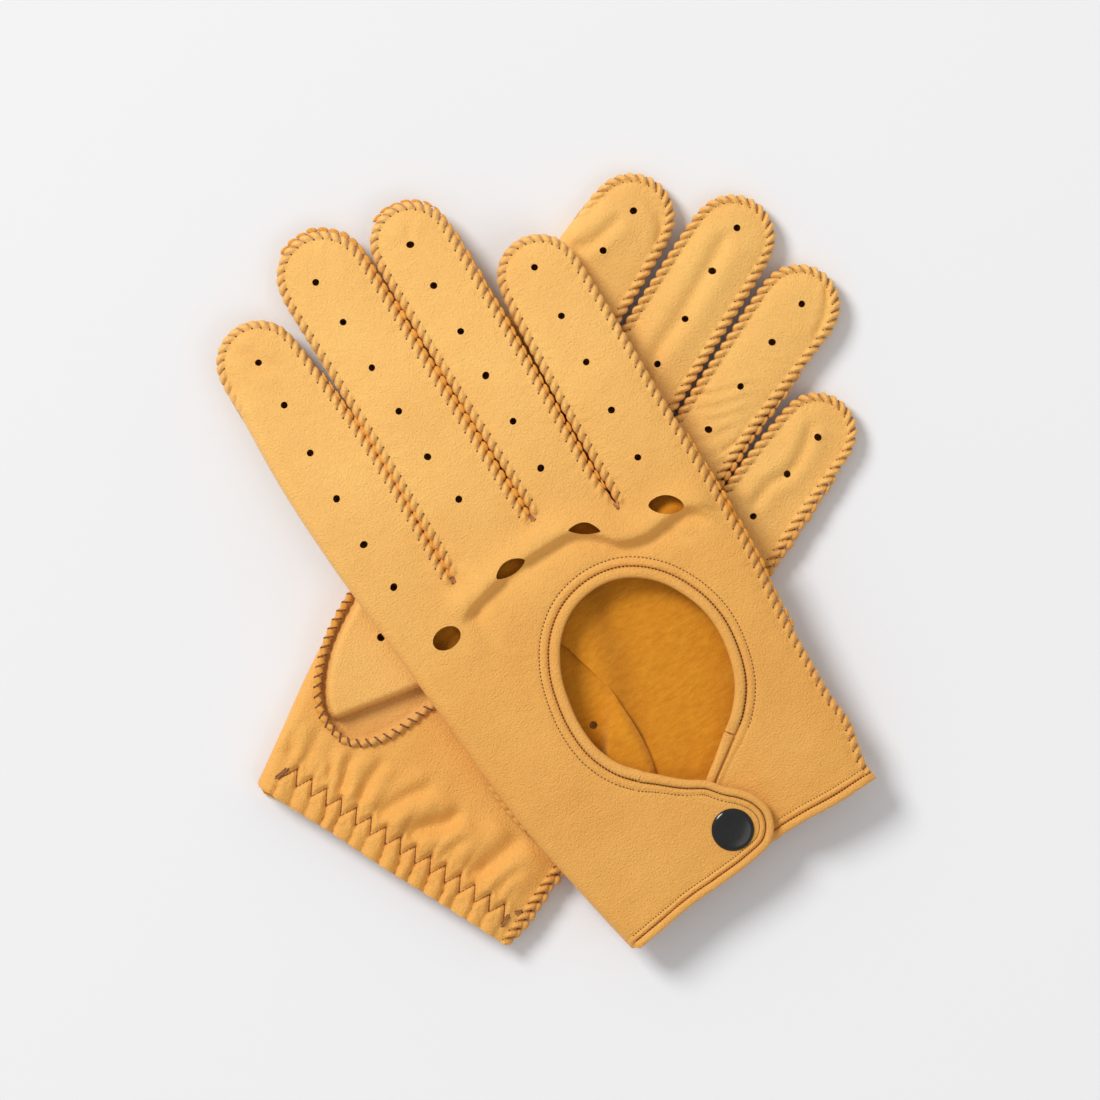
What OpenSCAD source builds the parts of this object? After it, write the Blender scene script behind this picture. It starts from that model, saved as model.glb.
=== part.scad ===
// A pair of unlined leather driving gloves with a keyhole opening and a snap at the wrist.
// The left glove lies palm up. The right glove lies back up across it and droops over it.
//
// Each glove is drawn in its own frame: x towards the little finger, y towards the fingertips
// from the middle of the wrist, and height h from the palm's outside (0) to the back's outside.
// The right glove is bent around a wide cylinder that lies along x. The left glove is flat.

/* [Leather] */
// Thickness of the glove leather
leather = 0.9; // [0.6:0.1:1.4]
// Inside height between palm and back
cavity = 5; // [4.6:0.1:8]
// Thickness of the folded binding above the leather
binding = 0.88; // [0.5:0.02:1.2]

/* [Placement] */
// Right wrist, across the table
right_x = 60.1; // [40:0.1:90]
// Right wrist, along the table
right_y = -87.9; // [-120:0.1:-60]
// Turn of the right glove
right_turn = 33.4; // [20:0.1:45]
// Height of the right palm where it lies highest
right_z = 13.9; // [13.9:0.1:30]
// Left wrist, across the table
left_x = -47.2; // [-90:0.1:-30]
// Left wrist, along the table
left_y = -87.6; // [-120:0.1:-60]
// Turn of the left glove
left_turn = -33; // [-45:0.1:-20]
// Radius that the right glove bends around
bend_r = 800; // [600:10:2000]
// Place along the right glove where it lies highest
bend_y = 104; // [90:1:120]

/* [Snap] */
// Radius of the snap's cap
cap_r = 6.25; // [5:0.05:8]
// Distance of the snap from the middle of the wrist, towards the fingertips
snap_y = 11; // [9:0.5:14]

/* [Stitching] */
// Distance between the overcast stitches
overcast_pitch = 3.25; // [2:0.05:5]
// Length of an overcast stitch
overcast_len = 2.6; // [1.5:0.1:4]
// Slant of the overcast stitches
overcast_slant = 30; // [0:1:50]
// Radius of the seam thread
thread_r = 0.2; // [0.1:0.05:0.4]
// Distance between the topstitches
topstitch_pitch = 3; // [1:0.1:5]
// Length of a topstitch
topstitch_len = 2.2; // [0.6:0.1:4]

/* [Hidden] */

$fn = 48;
air = 0.02;
wall_gap = 0.1;

// heights in a glove, from the palm's outside
body_h = 2 * leather + cavity;
back_h = body_h - leather;
binding_h = body_h + air + binding;
mid_h = body_h / 2;
seam_wall = 1;
side_wall = 0.9;
tongue_top = back_h - 1.7;
tongue_low = tongue_top - leather;
left_z = binding_h;
thumb_low = -2.3;
thumb_wall = 0.6;

// the strap turns about a line along the glove, just above its bindings
hinge_x = -9;
hinge_gap = 0.15;
riser_x = 14;
snap_x = 1;

tan_leather = [0.88, 0.71, 0.43];
tan_edge = [0.84, 0.64, 0.36];
thread_brown = [0.55, 0.36, 0.22];
snap_black = [0.10, 0.10, 0.12];
snap_metal = [0.45, 0.43, 0.40];
elastic_cream = [0.85, 0.80, 0.70];

// ---------------------------------------------------------------- outlines

// A finger is [root y, root middle, root half width, mid y, mid middle, mid half width,
// tip x, tip y, tip radius].
right_fingers = [
    [118, -41, 12.7, 160, -40.3, 14.3, -39.8, 202, 12.5],
    [121, -12.6, 13.9, 160, -11.4, 13.4, -10.3, 213, 13.4],
    [121, 13.6, 10.9, 160, 15.1, 11.7, 17, 207, 12],
    [110, 39.1, 13.9, 150, 41.1, 13.4, 43, 178, 12.2]];
left_fingers = [
    [118, -42.5, 13, 172, -42.9, 14.3, -42.5, 198.5, 12.7],
    [121, -13.2, 13.2, 172, -13.9, 13.1, -14.2, 209.5, 12.6],
    [121, 12, 10.8, 160, 11.4, 10.9, 13.2, 203.3, 12.2],
    [110, 36.8, 12.4, 150, 36.1, 12.1, 38, 175, 11.6]];

// the folded edge at the index side, from the wrist up, and the seamed edge, from the top down
right_fold = [[-43, -2], [-45, 10], [-48, 30], [-50.5, 50], [-51.8, 80], [-53, 110]];
right_side = [[53, 110], [52.2, 85], [50, 68], [47.9, 48], [46.8, 28], [45.5, 12], [44.5, 1]];
left_fold = [[-44, -1.5], [-46, 12], [-49.5, 35], [-51.5, 55], [-53.5, 80], [-55.2, 110]];
left_side = [[49.2, 110], [48.4, 85], [47.2, 60], [45.4, 35], [44.5, 10], [44, 0.5]];

// the wrist's edge, from the seamed side back to the fold
wrist_line = [[30, 0.8], [20, 1.8], [5, 0.5], [-10, -0.3], [-30, -1.4]];

// the leather edge of the keyhole opening, from the strap round the top to the riser
keyhole_arc = [[-12, 40], [-16, 45], [-19, 52], [-19.8, 60], [-18.6, 69], [-15.6, 78],
    [-10, 86], [-3, 90.8], [5, 92.5], [15, 90.5], [22, 85], [27, 77], [29.8, 65],
    [28.5, 55], [25, 46], [20, 40]];
keyhole_low = [[hinge_x, 37], [riser_x, 35.5]];

// the strap's edge, from the hinge at the keyhole round the snap to the hinge at the wrist
strap_edge = [[hinge_x, 37], [-3, 31], [2.5, 27], [6, 22.5], [9, 19.5], [12, 15], [13, 10],
    [11.5, 5.5], [8, 2], [0, 0.3], [hinge_x, -0.3]];

// the flap under the strap, from the riser at the keyhole round to the riser at the wrist
tongue_edge = [[riser_x + 0.8, 35.2], [8, 31], [2.5, 27.2], [-2.5, 22], [-5.5, 16],
    [-6.5, 10], [-6, 5], [-3, 2.2], [6, 2.2], [riser_x + 0.8, 2.6]];

// the thumb hole's edge and the thumb's own outline
thumb_hole = [[-47.5, 58], [-47, 48], [-45.5, 38], [-40.5, 29.5], [-35, 25.5], [-28, 24.5],
    [-23, 27.5], [-18.5, 34], [-15, 43], [-11.5, 53], [-10, 64], [-11, 75], [-15.5, 84],
    [-24, 88.5], [-35, 86], [-43.5, 75]];
thumb_seam = [[-49.4, 60], [-49, 47], [-47.3, 36], [-42, 26.8], [-35.4, 22.1], [-28, 21],
    [-21, 24.5], [-15.6, 31.5], [-12, 42], [-8.6, 53], [-6.9, 64]];
thumb_tip = [-18, 104];
thumb_tip_r = 13;

// the knuckle holes: [x, y, half length, half width, turn]
knuckles = [[-38, 104, 4.5, 3.2, 0], [-11.3, 110.5, 4.7, 2.3, 0],
    [12.8, 108, 4.5, 2.3, -35], [36.8, 101, 5, 3, -35]];

// each finger's row of perforations, from the tip down
right_perforations = [
    [[-39.8, 202], [-40.3, 187.3], [-41.6, 171.3], [-42.5, 155.8], [-43.2, 140.2], [-42.7, 125]],
    [[-12.8, 212.5], [-12.5, 198.2], [-12.8, 182.3], [-13.2, 167.2], [-13.5, 151.4], [-12.7, 136]],
    [[16.5, 206.4], [15.6, 192.5], [14.8, 176.8], [13.8, 161.9], [13.1, 146.3], [12.3, 130.4]],
    [[43.2, 180.6], [41.9, 164.3], [40.5, 149], [38.9, 133.2], [37.7, 117.4]]];
left_perforations = [
    [[-42.9, 200.2], [-44, 185.5], [-44, 170], [-43.8, 155], [-43.5, 140], [-43, 125]],
    [[-14.6, 212.6], [-13.8, 198], [-12.8, 181.8], [-12.4, 166.2], [-12.5, 151], [-12.8, 136]],
    [[13.6, 204.2], [12.4, 190], [11.7, 174], [10.7, 158.2], [11, 144], [11.5, 130.4]],
    [[39, 173.9], [37.3, 159.9], [35.7, 144], [35.9, 131], [36.2, 117.4]]];
perforation_r = 1.1;
perforation_stagger = 7.5;
thumb_perforation = [-33, 56];

function fingers(bent) = bent ? right_fingers : left_fingers;
function fold(bent) = bent ? right_fold : left_fold;
function side(bent) = bent ? right_side : left_side;
function perforations(bent) = bent ? right_perforations : left_perforations;

function arc(c, r, from, to, steps) =
    [for (i = [0:steps]) let (a = from + (to - from) * i / steps) c + r * [cos(a), sin(a)]];
function tip_arc(f) = arc([f[6], f[7]], f[8], 178, 2, 14);
function left_flank(f) = [[f[1] - f[2], f[0]], [f[4] - f[5], f[3]]];
function right_flank(f) = [[f[4] + f[5], f[3]], [f[1] + f[2], f[0]]];

// the bottom of the slit between finger i and the next one
crotch_y = [117.5, 120, 109.3];
function crotch(fs, i) =
    [[(fs[i][1] + fs[i][2] + fs[i + 1][1] - fs[i + 1][2]) / 2, crotch_y[i]]];

// the two flanks of that slit, from tip to tip
function slit(fs, i) = let (f = fs[i], g = fs[i + 1]) concat(
    [[f[6] + f[8], f[7] - 0.6]], right_flank(f), crotch(fs, i),
    left_flank(g), [[g[6] - g[8], g[7] - 0.6]]);

// the closed edge of a leaf, from the wrist up the fold, round the fingers and down the side
function leaf_edge(bent) = let (f = fingers(bent)) concat(
    fold(bent), [left_flank(f[0])[1]], tip_arc(f[0]),
    right_flank(f[0]), crotch(f, 0), left_flank(f[1]), tip_arc(f[1]),
    right_flank(f[1]), crotch(f, 1), left_flank(f[2]), tip_arc(f[2]),
    right_flank(f[2]), crotch(f, 2), left_flank(f[3]), tip_arc(f[3]),
    [right_flank(f[3])[0]], side(bent), wrist_line);

// the stretches of that edge where palm and back meet: fold and index tip, two tips, side seam
function fold_run(bent) = let (f = fingers(bent)[0])
    concat(fold(bent), [left_flank(f)[1]], tip_arc(f));
function side_run(bent) = let (f = fingers(bent)[3])
    concat(tip_arc(f), [right_flank(f)[0]], side(bent));

// the side edge down to where its stitches stop, above the wrist binding
function stitched_side(bent) = let (s = side(bent), n = len(s)) concat(
    [for (i = [0:n - 2]) s[i]], [(s[n - 2] + 2 * s[n - 1]) / 3]);

thumb_outline = concat(thumb_seam, [[-5.6, 85]], arc(thumb_tip, thumb_tip_r, 0, 180, 14),
    [[-36, 90], [-45, 76]]);

// ---------------------------------------------------------------- lines and offsets

function unit(v) = v / norm(v);
function right_of(v) = [v.y, -v.x];

// the line's normal at each of its points, long enough to keep a mitred corner's distance
function mitre(p, i) = let (
    n = len(p),
    u = right_of(unit(p[max(i, 1)] - p[max(i, 1) - 1])),
    w = right_of(unit(p[min(i, n - 2) + 1] - p[min(i, n - 2)])))
    (u + w) / max(1 + u * w, 0.6);

// the line moved d to its right
function beside(p, d) = [for (i = [0:len(p) - 1]) p[i] + d * mitre(p, i)];

// the flat strip between the line and its copy d to the right
module strip(p, d) {
    polygon(concat(p, [for (i = [len(p) - 1:-1:0]) beside(p, d)[i]]));
}

// distances along a line, and the line as tables to look places up by distance
function distances(p) = [for (i = 0, s = 0; i < len(p);
    s = s + (i < len(p) - 1 ? norm(p[i + 1] - p[i]) : 0), i = i + 1) s];
function table(p, s, k) = [for (i = [0:len(p) - 1]) [s[i], p[i][k]]];

// ---------------------------------------------------------------- laying the leather

function radius_at(h) = bend_r + h;
function height_at(bent, y, h) =
    bent ? sqrt(pow(radius_at(h), 2) - pow(y - bend_y, 2)) - bend_r : h;
function slope_at(bent, y, h) = bent ? asin((bend_y - y) / radius_at(h)) : 0;

// a flat outline cut out of the layer between heights h0 and h1
module layer(bent, h0, h1) {
    if (bent) {
        intersection() {
            translate([0, 0, h0 - 22]) linear_extrude(h1 - h0 + 24) children();
            translate([-75, bend_y, -bend_r]) rotate([0, 90, 0]) difference() {
                cylinder(r = radius_at(h1), h = 150, $fn = 256);
                translate([0, 0, -1]) cylinder(r = radius_at(h0), h = 152, $fn = 256);
            }
        }
    } else {
        translate([0, 0, h0]) linear_extrude(h1 - h0) children();
    }
}

// something small set on the layer at height h
module set_on(bent, x, y, h) {
    translate([x, y, height_at(bent, y, h)]) rotate([slope_at(bent, y, h), 0, 0]) children();
}

// stitches along a line at height h: inset to its right, turned from the line by turn degrees
module stitches(bent, line, h, inset, turn, pitch, length) {
    path = beside(line, inset);
    s = distances(path);
    along_x = table(path, s, 0);
    along_y = table(path, s, 1);
    count = floor((s[len(s) - 1] - length) / pitch);
    for (i = [0:count]) {
        d = length / 2 + i * pitch;
        here = [lookup(d, along_x), lookup(d, along_y)];
        ahead = [lookup(d + 0.4, along_x), lookup(d + 0.4, along_y)];
        heading = atan2(ahead.y - here.y, ahead.x - here.x);
        set_on(bent, here.x, here.y, h)
            rotate([0, 90, heading + turn]) cylinder(r = thread_r, h = length, center = true);
    }
}

back_thread_h = body_h + air + thread_r;
palm_thread_h = -air - thread_r;

// overcast stitches along a line, on the back's and the palm's outside
module overcast(bent, line) {
    for (h = [back_thread_h, palm_thread_h]) {
        stitches(bent, line, h, 1.7, overcast_slant - 90, overcast_pitch, overcast_len);
    }
}

module topstitch(bent, line, h, inset) {
    stitches(bent, line, h, inset, 0, topstitch_pitch, topstitch_len);
}

module right_side_of(x) {
    translate([x, -20]) square([80, 140]);
}

// ---------------------------------------------------------------- pieces of one glove

module keyhole_shape() {
    strap_root_x = hinge_x - hinge_gap;
    polygon(concat([[strap_root_x, 37 + hinge_gap]], keyhole_arc, [keyhole_low[1]],
        [[riser_x, -10], [strap_root_x, -10]]));
}

module knuckle_shapes() {
    for (k = knuckles) {
        translate([k[0], k[1]]) rotate(k[4])
            polygon([for (a = [0:20:340]) [k[2] * cos(a), k[3] * sin(a)]]);
    }
}

// the leaf that faces the table has its holes half a step lower, so that no hole goes right through
module perforation_shapes(bent, shown) {
    translate([0, shown ? 0 : -perforation_stagger])
        for (row = perforations(bent)) for (p = row) translate(p) circle(perforation_r);
}

module seam_rims(bent) {
    strip(fold_run(bent), seam_wall);
    strip(tip_arc(fingers(bent)[1]), seam_wall);
    strip(tip_arc(fingers(bent)[2]), seam_wall);
    strip(side_run(bent), seam_wall);
}

module back_leaf(bent) {
    color(tan_leather) difference() {
        union() {
            layer(bent, back_h, body_h) difference() {
                polygon(leaf_edge(bent));
                keyhole_shape();
                knuckle_shapes();
                perforation_shapes(bent, bent);
            }
            layer(bent, mid_h + air, back_h + leather / 2) seam_rims(bent);
            layer(bent, tongue_low + 0.2, back_h + leather / 2)
                translate([riser_x + 0.2, 3]) square([leather, 32]);
            layer(bent, tongue_low, tongue_top) polygon(tongue_edge);
        }
        set_on(bent, snap_x, snap_y, tongue_low - 1) cylinder(r = 1.4, h = leather + 2);
    }
}

module palm_leaf(bent) {
    color(tan_leather) union() {
        layer(bent, 0, leather) difference() {
            polygon(leaf_edge(bent));
            polygon(thumb_hole);
            perforation_shapes(bent, !bent);
        }
        layer(bent, leather / 2, mid_h - air) seam_rims(bent);
    }
}

module thumb(bent) {
    color(tan_leather) difference() {
        layer(bent, thumb_low, -0.05) polygon(thumb_outline);
        layer(bent, thumb_low + thumb_wall, -0.05 - thumb_wall)
            polygon(beside(thumb_outline, -0.8));
        layer(bent, thumb_low + thumb_wall, 1) polygon(thumb_hole);
        set_on(bent, thumb_perforation.x, thumb_perforation.y, thumb_low - 1)
            cylinder(r = perforation_r, h = 2);
    }
}

module fourchette(bent, i) {
    flanks = slit(fingers(bent), i);
    color(tan_leather) layer(bent, leather + wall_gap, back_h - wall_gap) strip(flanks, side_wall);
}

module strap(bent) {
    color(tan_leather) difference() {
        layer(bent, back_h, body_h) intersection() {
            polygon(strap_edge);
            right_side_of(hinge_x + hinge_gap);
        }
        layer(bent, back_h - 1, body_h + 1) translate([snap_x, snap_y]) circle(1.7);
        layer(bent, body_h - leather / 2, body_h + 1)
            translate([snap_x, snap_y]) circle(cap_r + 0.1);
    }
}

module keyhole_binding(bent) {
    color(tan_edge) layer(bent, body_h + air, binding_h) difference() {
        strip(concat([keyhole_low[0]], keyhole_arc, [[17, 37.4]]), -3);
        right_side_of_hinge_strip();
    }
}

// the band along the hinge that no binding reaches into
module right_side_of_hinge_strip() {
    translate([hinge_x - hinge_gap, -20]) square([riser_x - hinge_x, 70]);
}

module tongue_binding(bent) {
    color(tan_edge) layer(bent, tongue_top + air, tongue_top + binding)
        strip(concat([[riser_x - 1.8, 33.8]], [for (i = [1:4]) tongue_edge[i]]), -2.4);
}

module strap_binding(bent) {
    color(tan_edge) layer(bent, body_h + air, binding_h) intersection() {
        difference() {
            strip(strap_edge, 2.4);
            translate([snap_x, snap_y]) circle(cap_r + 0.3);
        }
        right_side_of(hinge_x + hinge_gap);
    }
}

module wrist_binding(bent) {
    left_part = [[hinge_x - hinge_gap, -0.3], [-30, -1.4], fold(bent)[0] + [0.4, 0.1]];
    right_part = [[44, 0.6], [30, 0.8], [20, 1.8], [riser_x + leather, 1.3]];
    color(tan_edge) layer(bent, body_h + air, binding_h) {
        strip(left_part, 2.6);
        strip(right_part, 2.6);
    }
}

module elastic(bent) {
    color(elastic_cream) layer(bent, leather + air, leather + 0.6)
        translate([-40, 3]) square([80, 6]);
}

module snap_cap(bent) {
    dome_r = 2.2 * cap_r;
    rim_h = 0.75;
    color(snap_black) set_on(bent, snap_x, snap_y, body_h - leather / 2) {
        intersection() {
            cylinder(r = cap_r, h = leather / 2 + binding - 0.05);
            translate([0, 0, rim_h + 0.55 - dome_r]) sphere(r = dome_r, $fn = 128);
        }
        translate([0, 0, -leather / 2]) cylinder(r = 1.6, h = leather);
    }
}

module snap_socket(bent) {
    color(snap_metal) set_on(bent, snap_x, snap_y, back_h - air) difference() {
        translate([0, 0, -0.85]) cylinder(r = 5, h = 0.85);
        translate([0, 0, -1.2]) cylinder(r = 2.7, h = 0.8);
    }
}

module snap_stud(bent) {
    color(snap_metal) set_on(bent, snap_x, snap_y, tongue_top + air) difference() {
        union() {
            cylinder(r = 4.6, h = 0.5);
            cylinder(r = 2.2, h = 1.05);
        }
        translate([0, 0, -1]) cylinder(r = 1.25, h = 1.6);
    }
}

module snap_post(bent) {
    color(snap_metal) set_on(bent, snap_x, snap_y, tongue_low - air) {
        translate([0, 0, -0.5]) cylinder(r = 4.4, h = 0.45);
        translate([0, 0, -0.2]) cylinder(r = 1.2, h = leather + 0.7);
    }
}

module finger_thread(bent) {
    f = fingers(bent);
    color(thread_brown) {
        overcast(bent, concat(arc([f[0][6], f[0][7]], f[0][8], 178, 2, 14), right_flank(f[0])));
        for (i = [1, 2]) {
            overcast(bent, concat(left_flank(f[i]), tip_arc(f[i]), right_flank(f[i])));
        }
        overcast(bent, concat(left_flank(f[3]), arc([f[3][6], f[3][7]], f[3][8], 178, 95, 7)));
    }
}

module side_thread(bent) {
    f = fingers(bent)[3];
    color(thread_brown)
        overcast(bent, concat(arc([f[6], f[7]], f[8], 85, 2, 7), [right_flank(f)[0]],
            stitched_side(bent)));
}

module thumb_thread(bent) {
    tip_side = concat([[-6.2, 68], [-5.6, 85]], arc(thumb_tip, thumb_tip_r, 0, 180, 14));
    h = thumb_low - air - thread_r;
    turn = overcast_slant - 90;
    color(thread_brown) {
        stitches(bent, thumb_seam, h, -1.7, turn, overcast_pitch, overcast_len);
        stitches(bent, tip_side, h, -1.7, turn, overcast_pitch, overcast_len);
    }
}

module edge_thread(bent) {
    left_wrist = [[-42, -1.6], [-30, -1.4], [-11, -0.4]];
    right_wrist = [[16, 1.4], [20, 1.8], [30, 0.8], [40, 0.65]];
    color(thread_brown) {
        topstitch(bent, keyhole_arc, back_thread_h, -5.6);
        topstitch(bent, left_wrist, back_thread_h, -3.6);
        topstitch(bent, right_wrist, back_thread_h, -3.6);
    }
}

module strap_thread(bent) {
    upper = [for (i = [1:4]) strap_edge[i]];
    color(thread_brown) topstitch(bent, upper, back_thread_h, 3.2);
}

module elastic_thread(bent) {
    pitch = 5.2;
    low = 3.6;
    high = 8.4;
    color(thread_brown) for (i = [0:14]) {
        x = -38 + i * pitch;
        for (way = [0, 1]) {
            set_on(bent, x + (0.25 + 0.5 * way) * pitch, (low + high) / 2, palm_thread_h)
                rotate([0, 90, (way == 0 ? 1 : -1) * atan2(high - low, pitch / 2)])
                    cylinder(r = thread_r, h = 4.4, center = true);
        }
    }
}

// ---------------------------------------------------------------- the pair

// the right glove: back up, bent over the other
module right_glove() {
    translate([right_x, right_y, right_z]) rotate([0, 0, right_turn]) children();
}

// the left glove: the same plan with the palm up
module left_glove() {
    translate([left_x, left_y, left_z]) rotate([0, 0, left_turn]) mirror([0, 0, 1]) children();
}

module right_back_leaf() { right_glove() back_leaf(true); }
module right_palm_leaf() { right_glove() palm_leaf(true); }
module right_thumb() { right_glove() thumb(true); }
module right_fourchette_index_middle() { right_glove() fourchette(true, 0); }
module right_fourchette_middle_ring() { right_glove() fourchette(true, 1); }
module right_fourchette_ring_little() { right_glove() fourchette(true, 2); }
module right_strap() { right_glove() strap(true); }
module right_keyhole_binding() { right_glove() keyhole_binding(true); }
module right_tongue_binding() { right_glove() tongue_binding(true); }
module right_strap_binding() { right_glove() strap_binding(true); }
module right_wrist_binding() { right_glove() wrist_binding(true); }
module right_elastic() { right_glove() elastic(true); }
module right_snap_cap() { right_glove() snap_cap(true); }
module right_snap_socket() { right_glove() snap_socket(true); }
module right_snap_stud() { right_glove() snap_stud(true); }
module right_snap_post() { right_glove() snap_post(true); }
module right_finger_thread() { right_glove() finger_thread(true); }
module right_side_thread() { right_glove() side_thread(true); }
module right_thumb_thread() { right_glove() thumb_thread(true); }
module right_edge_thread() { right_glove() edge_thread(true); }
module right_strap_thread() { right_glove() strap_thread(true); }
module right_elastic_thread() { right_glove() elastic_thread(true); }

module left_back_leaf() { left_glove() back_leaf(false); }
module left_palm_leaf() { left_glove() palm_leaf(false); }
module left_thumb() { left_glove() thumb(false); }
module left_fourchette_index_middle() { left_glove() fourchette(false, 0); }
module left_fourchette_middle_ring() { left_glove() fourchette(false, 1); }
module left_fourchette_ring_little() { left_glove() fourchette(false, 2); }
module left_strap() { left_glove() strap(false); }
module left_keyhole_binding() { left_glove() keyhole_binding(false); }
module left_tongue_binding() { left_glove() tongue_binding(false); }
module left_strap_binding() { left_glove() strap_binding(false); }
module left_wrist_binding() { left_glove() wrist_binding(false); }
module left_elastic() { left_glove() elastic(false); }
module left_snap_cap() { left_glove() snap_cap(false); }
module left_snap_socket() { left_glove() snap_socket(false); }
module left_snap_stud() { left_glove() snap_stud(false); }
module left_snap_post() { left_glove() snap_post(false); }
module left_finger_thread() { left_glove() finger_thread(false); }
module left_side_thread() { left_glove() side_thread(false); }
module left_thumb_thread() { left_glove() thumb_thread(false); }
module left_edge_thread() { left_glove() edge_thread(false); }
module left_strap_thread() { left_glove() strap_thread(false); }
module left_elastic_thread() { left_glove() elastic_thread(false); }

right_back_leaf();
right_palm_leaf();
right_thumb();
right_fourchette_index_middle();
right_fourchette_middle_ring();
right_fourchette_ring_little();
right_strap();
right_keyhole_binding();
right_tongue_binding();
right_strap_binding();
right_wrist_binding();
right_elastic();
right_snap_cap();
right_snap_socket();
right_snap_stud();
right_snap_post();
right_finger_thread();
right_side_thread();
right_thumb_thread();
right_edge_thread();
right_strap_thread();
right_elastic_thread();
left_back_leaf();
left_palm_leaf();
left_thumb();
left_fourchette_index_middle();
left_fourchette_middle_ring();
left_fourchette_ring_little();
left_strap();
left_keyhole_binding();
left_tongue_binding();
left_strap_binding();
left_wrist_binding();
left_elastic();
left_snap_cap();
left_snap_socket();
left_snap_stud();
left_snap_post();
left_finger_thread();
left_side_thread();
left_thumb_thread();
left_edge_thread();
left_strap_thread();
left_elastic_thread();
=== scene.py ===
import math

import bpy
import numpy as np
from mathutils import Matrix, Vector
from mathutils.geometry import delaunay_2d_cdt
from mathutils.kdtree import KDTree


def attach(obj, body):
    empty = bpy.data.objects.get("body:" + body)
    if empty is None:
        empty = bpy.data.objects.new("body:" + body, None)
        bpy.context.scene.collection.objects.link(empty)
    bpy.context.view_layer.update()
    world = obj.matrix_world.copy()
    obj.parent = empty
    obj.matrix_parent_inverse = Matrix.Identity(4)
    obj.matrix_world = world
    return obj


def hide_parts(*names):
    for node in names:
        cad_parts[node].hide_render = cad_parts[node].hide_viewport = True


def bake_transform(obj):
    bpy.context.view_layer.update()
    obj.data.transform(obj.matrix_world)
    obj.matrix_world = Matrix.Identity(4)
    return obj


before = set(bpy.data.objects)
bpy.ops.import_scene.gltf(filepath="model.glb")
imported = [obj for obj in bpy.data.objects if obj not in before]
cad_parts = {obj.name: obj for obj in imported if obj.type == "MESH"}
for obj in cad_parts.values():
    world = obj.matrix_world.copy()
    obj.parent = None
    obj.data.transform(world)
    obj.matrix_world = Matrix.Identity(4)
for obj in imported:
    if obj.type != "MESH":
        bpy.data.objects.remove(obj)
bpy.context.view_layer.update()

# A pair of leather driving gloves. All lengths are millimetres until a mesh is made.
# Each glove is drawn in its own plan: x towards the little finger, y towards the fingertips.
# Heights are measured outwards from the glove's middle plane, up or down.

MM = 0.001
COARSE = 1.0

# ---------------------------------------------------------------- sizes

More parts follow.
